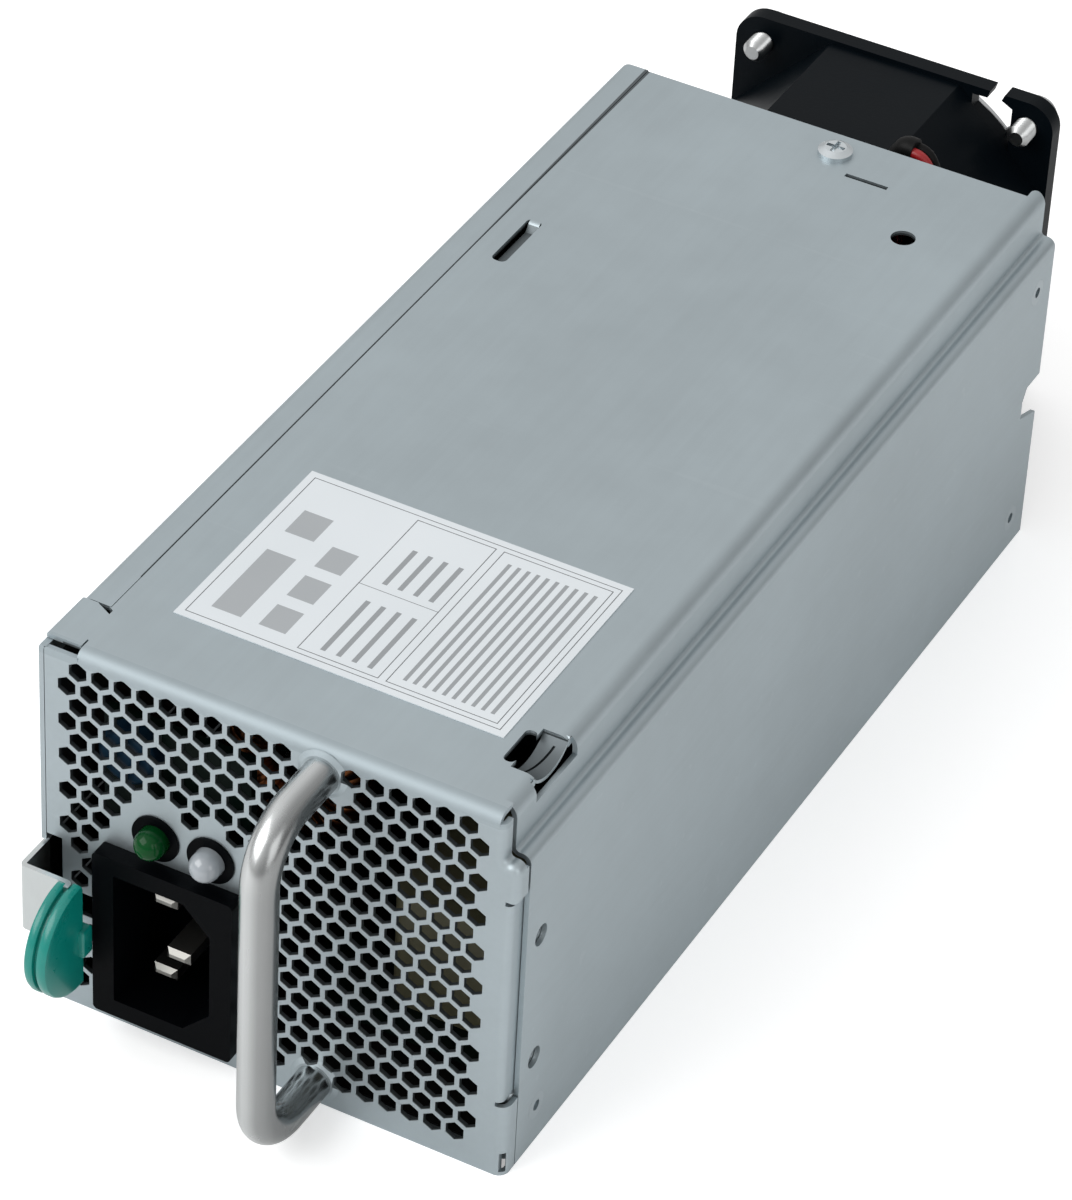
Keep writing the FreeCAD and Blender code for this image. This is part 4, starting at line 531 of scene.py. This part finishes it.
# %% Who wears what
dress = {
    "chassis_base": zinc, "top_cover": punched_zinc, "label": label_film,
    "cover_screw": zinc_screw, "side_screws": flush_screw,
    "carry_handle": nickel, "handle_screws": bright_steel,
    "inlet_housing": black_nylon, "inlet_pins": tinned_brass, "inlet_leads": black_lead,
    "lamp_holders": black_nylon, "lamp_green": green_lens, "lamp_clear": clear_lens,
    "lamp_board": shaded_solder_mask,
    "latch_arm": spring_steel, "latch_foot": spring_steel, "latch_rivets": bright_steel,
    "latch_tab": teal_nylon,
    "fan_frame": fan_plastic, "fan_rotor": fan_plastic, "fan_stator": copper,
    "fan_shaft": bright_steel, "fan_screws": bright_steel, "fan_mount_screws": bright_steel,
    "fan_guard": chrome_wire, "fan_lead_red": red_lead, "fan_lead_black": black_lead,
    "lead_sleeve": black_lead,
    "main_board": shaded_solder_mask, "control_board": shaded_solder_mask, "insulating_film": shaded_film,
    "standoffs": bright_steel, "board_screws": bright_steel,
    "mains_choke": copper, "mains_fuse": ceramic, "suppression_capacitor": blue_epoxy,
    "filter_capacitor": yellow_tape, "bridge_rectifier": package_black,
    "bulk_capacitors": capacitor_sleeve, "output_capacitors": capacitor_sleeve,
    "primary_heatsink": aluminium, "primary_switches": package_black,
    "secondary_heatsink": aluminium, "secondary_switches": package_black,
    "transformer_core": ferrite, "transformer_winding": yellow_tape, "output_choke": copper,
    "output_connector": black_nylon, "output_contacts": tinned_brass,
}
for node_name, material in dress.items():
    mesh = nodes[node_name].data
    mesh.materials.clear()
    mesh.materials.append(material)
print("dressed", len(dress), "of", len(nodes))

# %% [markdown]
# ## Making pieces
#
# Round things are turned: a profile of radius and height, spun about an axis. The spin's seam
# is merged, the poles are closed by merging doubles, and the normals are recalculated, because
# a spin can leave a skin inside out.

# %% The lathe, and a finished piece
def turn(shape, profile, centre, axis, steps=48):
    """Spin (radius, height) points about an axis; heights count along it from the centre."""
    axis = Vector(axis).normalized()
    side = axis.orthogonal().normalized()
    centre = Vector(centre)
    points = [shape.verts.new(centre + side * radius + axis * height)
              for radius, height in profile]
    edges = [shape.edges.new(pair) for pair in zip(points, points[1:])]
    bmesh.ops.spin(shape, geom=points + edges, cent=centre, axis=axis, angle=math.tau,
                   steps=steps, use_merge=True)


def whole(shape):
    """All of a shape, for the operators that ask for it."""
    return shape.verts[:] + shape.edges[:] + shape.faces[:]


def open_edges(shape):
    """The edges round a hole."""
    return [edge for edge in shape.edges if edge.is_boundary]


def finished(name, shape, material, body, stands_for, sharp=35):
    """Close the shape, give it its finish and body, and hide the nodes it stands for."""
    bmesh.ops.remove_doubles(shape, verts=shape.verts, dist=0.000002)
    bmesh.ops.recalc_face_normals(shape, faces=shape.faces)
    mesh = bpy.data.meshes.new(name)
    shape.to_mesh(mesh)
    shape.free()
    for face in mesh.polygons:
        face.use_smooth = True
    mesh.set_sharp_from_angle(angle=math.radians(sharp))
    mesh.materials.append(material)
    piece = bpy.data.objects.new(name, mesh)
    bpy.context.collection.objects.link(piece)
    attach(piece, body)
    if stands_for:
        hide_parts(*stands_for)
    print(name, len(mesh.polygons), "faces")

# %% [markdown]
# ## Status lamps
#
# Each lamp is a 5 mm dome. Half a sphere makes the dome, its open rim is drawn back into the
# barrel, and the end is closed. Starting from a sphere gives the dome even facets, which a
# stretched cylinder would not.

# %% Domes
def status_lamp(name, node_name, material):
    low, high = box(node_name)
    radius = (high.x - low.x) / 2
    shape = bmesh.new()
    bmesh.ops.create_uvsphere(shape, u_segments=48, v_segments=24, radius=radius * 0.995)
    bmesh.ops.bisect_plane(shape, geom=whole(shape), plane_co=(0, 0, 0), plane_no=(0, 0, 1),
                           clear_inner=True)
    barrel = bmesh.ops.extrude_edge_only(shape, edges=open_edges(shape))["geom"]
    ring = [item for item in barrel if isinstance(item, bmesh.types.BMVert)]
    bmesh.ops.translate(shape, verts=ring, vec=(0, 0, radius - (high.y - low.y)))
    bmesh.ops.holes_fill(shape, edges=open_edges(shape))
    bmesh.ops.rotate(shape, verts=shape.verts, matrix=Matrix.Rotation(math.pi / 2, 3, "X"))
    middle = (low + high) / 2
    bmesh.ops.translate(shape, verts=shape.verts, vec=(middle.x, low.y + radius, middle.z))
    finished(name, shape, material, "case", [node_name])


status_lamp("green_dome", "lamp_green", green_lens)
status_lamp("clear_dome", "lamp_clear", clear_lens)

# %% [markdown]
# ## Guard screws
#
# The tips of the fan's screws stand out inside its rear flange, where light runs over their
# threads. A real thread is a helix. At this size rings of the same pitch look the same, and a
# saw-toothed profile on the lathe makes them in one pass with the head.

# %% Threaded screws
PITCH = 0.7 * MM
THREADS = 12
SCREW_R = 2.05 * MM
ROOT_R = SCREW_R - 0.32 * MM
POINT = 0.55 * MM    # length of the chamfer at the tip
HEAD_R = 3.4 * MM
HEAD_H = 1.8 * MM


def threaded_screw(shape, x, z, tip_y, head_y):
    """A screw along Y, with its point at tip_y and the top of its head at head_y."""
    length = head_y - tip_y
    seat = length - HEAD_H
    profile = [(0.0, 0.0), (ROOT_R * 0.72, 0.0), (ROOT_R, POINT)]
    for thread in range(THREADS):
        start = POINT + thread * PITCH
        if start + PITCH < seat:
            profile += [(SCREW_R, start + PITCH * 0.5), (ROOT_R, start + PITCH)]
    rim = HEAD_R - 0.02 * MM
    profile += [(ROOT_R, seat), (rim, seat), (rim, seat + HEAD_H / 2),
                (rim * 0.86, length - 0.25 * MM), (rim * 0.62, length), (0.0, length)]
    turn(shape, profile, (x, tip_y, z), (0, 1, 0), steps=32)


screw_low, screw_high = box("fan_screws")
screws = bmesh.new()
for x in (screw_low.x + HEAD_R, screw_high.x - HEAD_R):
    for z in (screw_low.z + HEAD_R, screw_high.z - HEAD_R):
        threaded_screw(screws, x, z, screw_low.y, screw_high.y)
finished("guard_screws", screws, bright_steel, "case", ["fan_screws"])

# %% [markdown]
# ## Fan rotor
#
# The rotor is one moulding: a cup over the motor and seven swept blades. The cup is turned. A
# blade could be cut from a disc, but its sweep and camber would be hard to steer that way. So it
# starts as a flat grid between hub and tip, each of its rows is swung round the axis by its own
# angle, and solidify gives it a wall.

# %% Cup
rotor_low, rotor_high = box("fan_rotor")
rotor_axis = sum(box("fan_shaft"), Vector()) / 2
ROTOR_DEPTH = rotor_high.y - rotor_low.y
HUB_R = 13.5 * MM
CUP_R = HUB_R - 1.6 * MM    # inside of the cup
BORE_R = 1.8 * MM
RECESS = ROTOR_DEPTH - 0.5 * MM    # the sunk middle of the cup's end
INNER_FACE = ROTOR_DEPTH - 6.0 * MM

cup = [(CUP_R, 0.0), (HUB_R - 0.3 * MM, 0.0), (HUB_R, 0.4 * MM), (HUB_R, ROTOR_DEPTH - 1.4 * MM),
       (HUB_R - 0.4 * MM, RECESS), (HUB_R - 1.4 * MM, ROTOR_DEPTH),
       (HUB_R - 3.2 * MM, ROTOR_DEPTH), (HUB_R - 3.8 * MM, RECESS), (BORE_R, RECESS),
       (BORE_R, INNER_FACE), (CUP_R, INNER_FACE), (CUP_R, 0.0)]
rotor = bmesh.new()
turn(rotor, cup, (rotor_axis.x, rotor_low.y, rotor_axis.z), (0, 1, 0), steps=64)
print("cup", round(2 * HUB_R / MM, 1), "across")

# %% Blades
TIP_R = 26.9 * MM
BLADES = 7
BLADE_WALL = 1.0 * MM
BLADE_ROOT_R = HUB_R - 0.6 * MM


def swept_blade(shape, start_angle):
    """A grid from the hub to the tip, swung round the axis row by row, and given a wall."""
    grid = bmesh.ops.create_grid(shape, x_segments=8, y_segments=12, size=0.5)["verts"]
    for vert in grid:
        out = vert.co.x + 0.5
        back = vert.co.y + 0.5
        sweep = math.radians(-20 + 44 * back + 12 * back * back - 16 * out * out)
        angle = start_angle + sweep
        radius = BLADE_ROOT_R + out * (TIP_R - BLADE_ROOT_R)
        trim = 1.2 * MM * out * out
        depth = 1.2 * MM + trim + back * (ROTOR_DEPTH - 3.0 * MM - 2 * trim)
        vert.co = (rotor_axis.x + radius * math.sin(angle), rotor_low.y + depth,
                   rotor_axis.z + radius * math.cos(angle))
    faces = list({face for vert in grid for face in vert.link_faces})
    bmesh.ops.solidify(shape, geom=faces, thickness=BLADE_WALL)


for blade in range(BLADES):
    swept_blade(rotor, math.tau * blade / BLADES)
finished("swept_rotor", rotor, fan_plastic, "rotor", ["fan_rotor"])

# %% [markdown]
# ## Thumb tab
#
# The tab is a moulded half disc, pushed on the latch's tongue, with a groove round its rim. The
# groove and the rounded edges run round the disc, so the lathe makes them, and a plane then
# cuts the disc to a half. A short bevelled tail reaches back from the flat side, where the
# moulding grips the tongue.

# %% Turned disc, cut to a half
TAB_THICK = 3.98    # in millimetres, as the rim's insets and heights are
RIM = [(-0.6, 0.0), (-0.18, 0.16), (0.0, 0.55), (0.0, 1.30), (-0.14, 1.52), (-0.8, 1.58),
       (-0.8, 2.22), (-0.14, 2.28), (0.0, 2.50), (0.0, 3.40), (-0.18, 3.82), (-0.6, TAB_THICK)]
TAIL_SIZE = (2.4 * MM, 2.6 * MM, 5.0 * MM)

tab_low, tab_high = box("latch_tab")
tab_r = (tab_high.z - tab_low.z) / 2
tab_z = (tab_high.z + tab_low.z) / 2
tab_y = tab_low.y + tab_r
rim = [(tab_r + inset * MM, height * MM) for inset, height in RIM]
section = [(0.0, 0.0), *rim, (0.0, TAB_THICK * MM)]
tab = bmesh.new()
turn(tab, section, (tab_low.x, tab_y, tab_z), (1, 0, 0), steps=120)
bmesh.ops.remove_doubles(tab, verts=tab.verts, dist=0.000002)
bmesh.ops.bisect_plane(tab, geom=whole(tab), plane_co=(0, tab_y + 0.8 * MM, 0),
                       plane_no=(0, 1, 0), clear_outer=True)
bmesh.ops.holes_fill(tab, edges=open_edges(tab))
print("tab", round(2 * tab_r / MM, 1), "high")

# %% Tail
tail = bmesh.ops.create_cube(tab, size=1.0)["verts"]
tail_middle = (tab_high.x - 1.25 * MM, tab_high.y - 1.35 * MM, tab_z - 0.9 * MM)
bmesh.ops.scale(tab, verts=tail, vec=TAIL_SIZE)
bmesh.ops.translate(tab, verts=tail, vec=tail_middle)
tail_edges = list({edge for vert in tail for edge in vert.link_edges})
bmesh.ops.bevel(tab, geom=tail_edges, offset=0.4 * MM, segments=3, profile=0.5,
                affect="EDGES", material=-1)
finished("thumb_tab", tab, teal_nylon, "latch", ["latch_tab"])

# %% [markdown]
# ## Wound chokes
#
# The chokes are rings of ferrite with thick enamelled wire. The ring is a small circle turned
# about the choke's axis. One wire swept along a spiral would be truer, but separate turns look
# the same and are simpler: each is a thinner ring round the core's section. A gap at the top and
# the bottom keeps the two halves of the winding apart, as on a real filter.

# %% Ring cores and their turns
HALVES_GAP = 0.2


def small_circle(distance, radius, sides):
    """A closed profile: a circle of the radius, at a distance from the axis."""
    angles = [math.tau * side / sides for side in range(sides)] + [0.0]
    return [(distance + radius * math.cos(angle), radius * math.sin(angle)) for angle in angles]


def wound_choke(name, node_name, wire_r, turns):
    low, high = box(node_name)
    middle = (low + high) / 2
    section_r = (high.y - low.y) / 2
    ring_r = (high.x - low.x) / 2 - section_r
    core = bmesh.new()
    core_profile = small_circle(ring_r, section_r - 2 * wire_r, 20)
    turn(core, core_profile, middle, (0, 1, 0), steps=64)
    finished(name + "_core", core, ferrite, "case", [])
    wire = bmesh.new()
    wire_profile = small_circle(section_r - wire_r, wire_r * 0.97, 6)
    for number in range(turns):
        angle = math.tau * (number + 0.5) / turns
        if abs(math.cos(angle)) > HALVES_GAP:
            centre = middle + ring_r * Vector((math.cos(angle), 0, math.sin(angle)))
            along = Vector((-math.sin(angle), 0, math.cos(angle)))
            turn(wire, wire_profile, centre, along, steps=18)
    finished(name + "_winding", wire, copper, "case", [node_name], sharp=60)


wound_choke("mains_filter_choke", "mains_choke", 0.62 * MM, 38)
wound_choke("output_filter_choke", "output_choke", 0.70 * MM, 30)

# %% [markdown]
# ## Electrolytic capacitors
#
# A can has a rolled neck near its foot, a shrunk sleeve that turns in over the top edge, and
# bare aluminium in the middle of the top. The sleeve and the top are turned separately, so
# each has its own finish.

# %% Cans
def electrolytic(sleeve, top, foot, tall, radius):
    """Turn one can about the Z axis through its foot."""
    lip = min(0.5 * MM, radius * 0.08)
    skin = [(0.0, 0.0), (radius - lip, 0.0), (radius, lip), (radius, tall * 0.045),
            (radius - lip, tall * 0.06), (radius, tall * 0.075), (radius, tall - lip * 2),
            (radius - lip, tall - lip * 0.4), (radius - lip * 2.6, tall),
            (radius - lip * 3.2, tall - lip * 0.6), (0.0, tall - lip * 0.6)]
    turn(sleeve, skin, foot, (0, 0, 1), steps=48)
    plate = [(0.0, tall - lip * 0.58), (radius - lip * 3.4, tall - lip * 0.58),
             (radius - lip * 3.6, tall - lip * 0.3), (0.0, tall - lip * 0.3)]
    turn(top, plate, foot, (0, 0, 1), steps=48)


def row_of_cans(name, node_name, radius, count):
    low, high = box(node_name)
    step = (high.x - low.x - 2 * radius) / (count - 1)
    sleeve, top = bmesh.new(), bmesh.new()
    for number in range(count):
        foot = (low.x + radius + step * number, (low.y + high.y) / 2, low.z)
        electrolytic(sleeve, top, foot, high.z - low.z, radius)
    finished(name + "_sleeves", sleeve, capacitor_sleeve, "case", [node_name])
    finished(name + "_tops", top, aluminium, "case", [])


row_of_cans("bulk_cans", "bulk_capacitors", 13.95 * MM, 2)
row_of_cans("output_cans", "output_capacitors", 4.88 * MM, 3)

# %% [markdown]
# ## Stage and lamps
#
# The paper glows for the camera's rays, and a sixth as much for rays that come from a
# reflection or through something clear. It stays plain paper for all others, so it looks white
# and still keeps the object's shadow, which a floor that glows for every ray would wash out.

# %% White floor
PAPER_GLOW = (0.40, 0.40, 0.40)
REFLECTED = 0.16
floor_finish = Finish("white_floor", (0.86, 0.86, 0.86), 0.9)
seen = floor_finish.node("ShaderNodeLightPath", output="Is Camera Ray")
for ray in ("Is Glossy Ray", "Is Transmission Ray"):
    seen = seen + floor_finish.node("ShaderNodeLightPath", output=ray) * REFLECTED
floor_finish.set("Emission Color", floor_finish.mix(seen, (0.0, 0.0, 0.0), PAPER_GLOW))
floor_finish.set("Emission Strength", 1.0)

floor_shape = bmesh.new()
bmesh.ops.create_grid(floor_shape, x_segments=1, y_segments=1, size=3.0)
floor_mesh = bpy.data.meshes.new("floor")
floor_shape.to_mesh(floor_mesh)
floor_shape.free()
floor = bpy.data.objects.new("floor", floor_mesh)
bpy.context.collection.objects.link(floor)
floor_mesh.materials.append(floor_finish.material)
print("floor", floor.name)

# %% [markdown]
# The world is the studio's room: bright overhead, dimmer towards the walls and dimmer still on
# the right, so that curved metal shows a light side and a dark side.

# %% World
world = bpy.data.worlds.new("studio")
bpy.context.scene.world = world
world.use_nodes = True
room = Recipe(world.node_tree)
east, north, up = room.axes("Generated")
overhead = room.ramp(up * 0.5 + 0.5,
                     [(0.0, 0.60), (0.50, 0.42), (0.60, 0.58), (0.74, 0.90), (1.0, 0.96)])
side_light = room.ramp(0.5 - east * 0.5, [(0.0, 0.55), (0.35, 0.80), (0.60, 1.0), (1.0, 1.0)])
brightness = room.node("ShaderNodeMix", {"data_type": "RGBA", "blend_type": "MULTIPLY"},
                       {0: 1.0, 6: overhead, 7: side_light}, output=2)
background = world.node_tree.nodes["Background"]
world.node_tree.links.new(brightness.socket, background.inputs["Color"])
background.inputs["Strength"].default_value = 1.0
print("world", world.name)

# %% [markdown]
# A broad key lamp from the front left models the handle and the front, and a weaker one from
# the right keeps the right wall from going flat. Both are large panels, because a small lamp
# would draw hard highlights on satin metal.

# %% Lamps
CASE_MIDDLE = (0, 0, 0.03)
BEHIND_FRONT = (0, -0.05, 0.03)


def lamp(name, place, aim, size, watts):
    data = bpy.data.lights.new(name, "AREA")
    data.shape = "RECTANGLE"
    data.size, data.size_y = size
    data.energy = watts
    item = bpy.data.objects.new(name, data)
    bpy.context.collection.objects.link(item)
    direction = Vector(aim) - Vector(place)
    facing = direction.to_track_quat("-Z", "Y").to_matrix().to_4x4()
    item.matrix_world = Matrix.Translation(Vector(place)) @ facing
    print(name, watts, "W")


lamp("key", (-0.75, -0.85, 0.90), BEHIND_FRONT, (1.2, 0.9), 11.0)
lamp("fill", (0.9, -0.6, 0.5), CASE_MIDDLE, (0.7, 0.7), 2.4)
bpy.context.scene.view_settings.view_transform = "Standard"
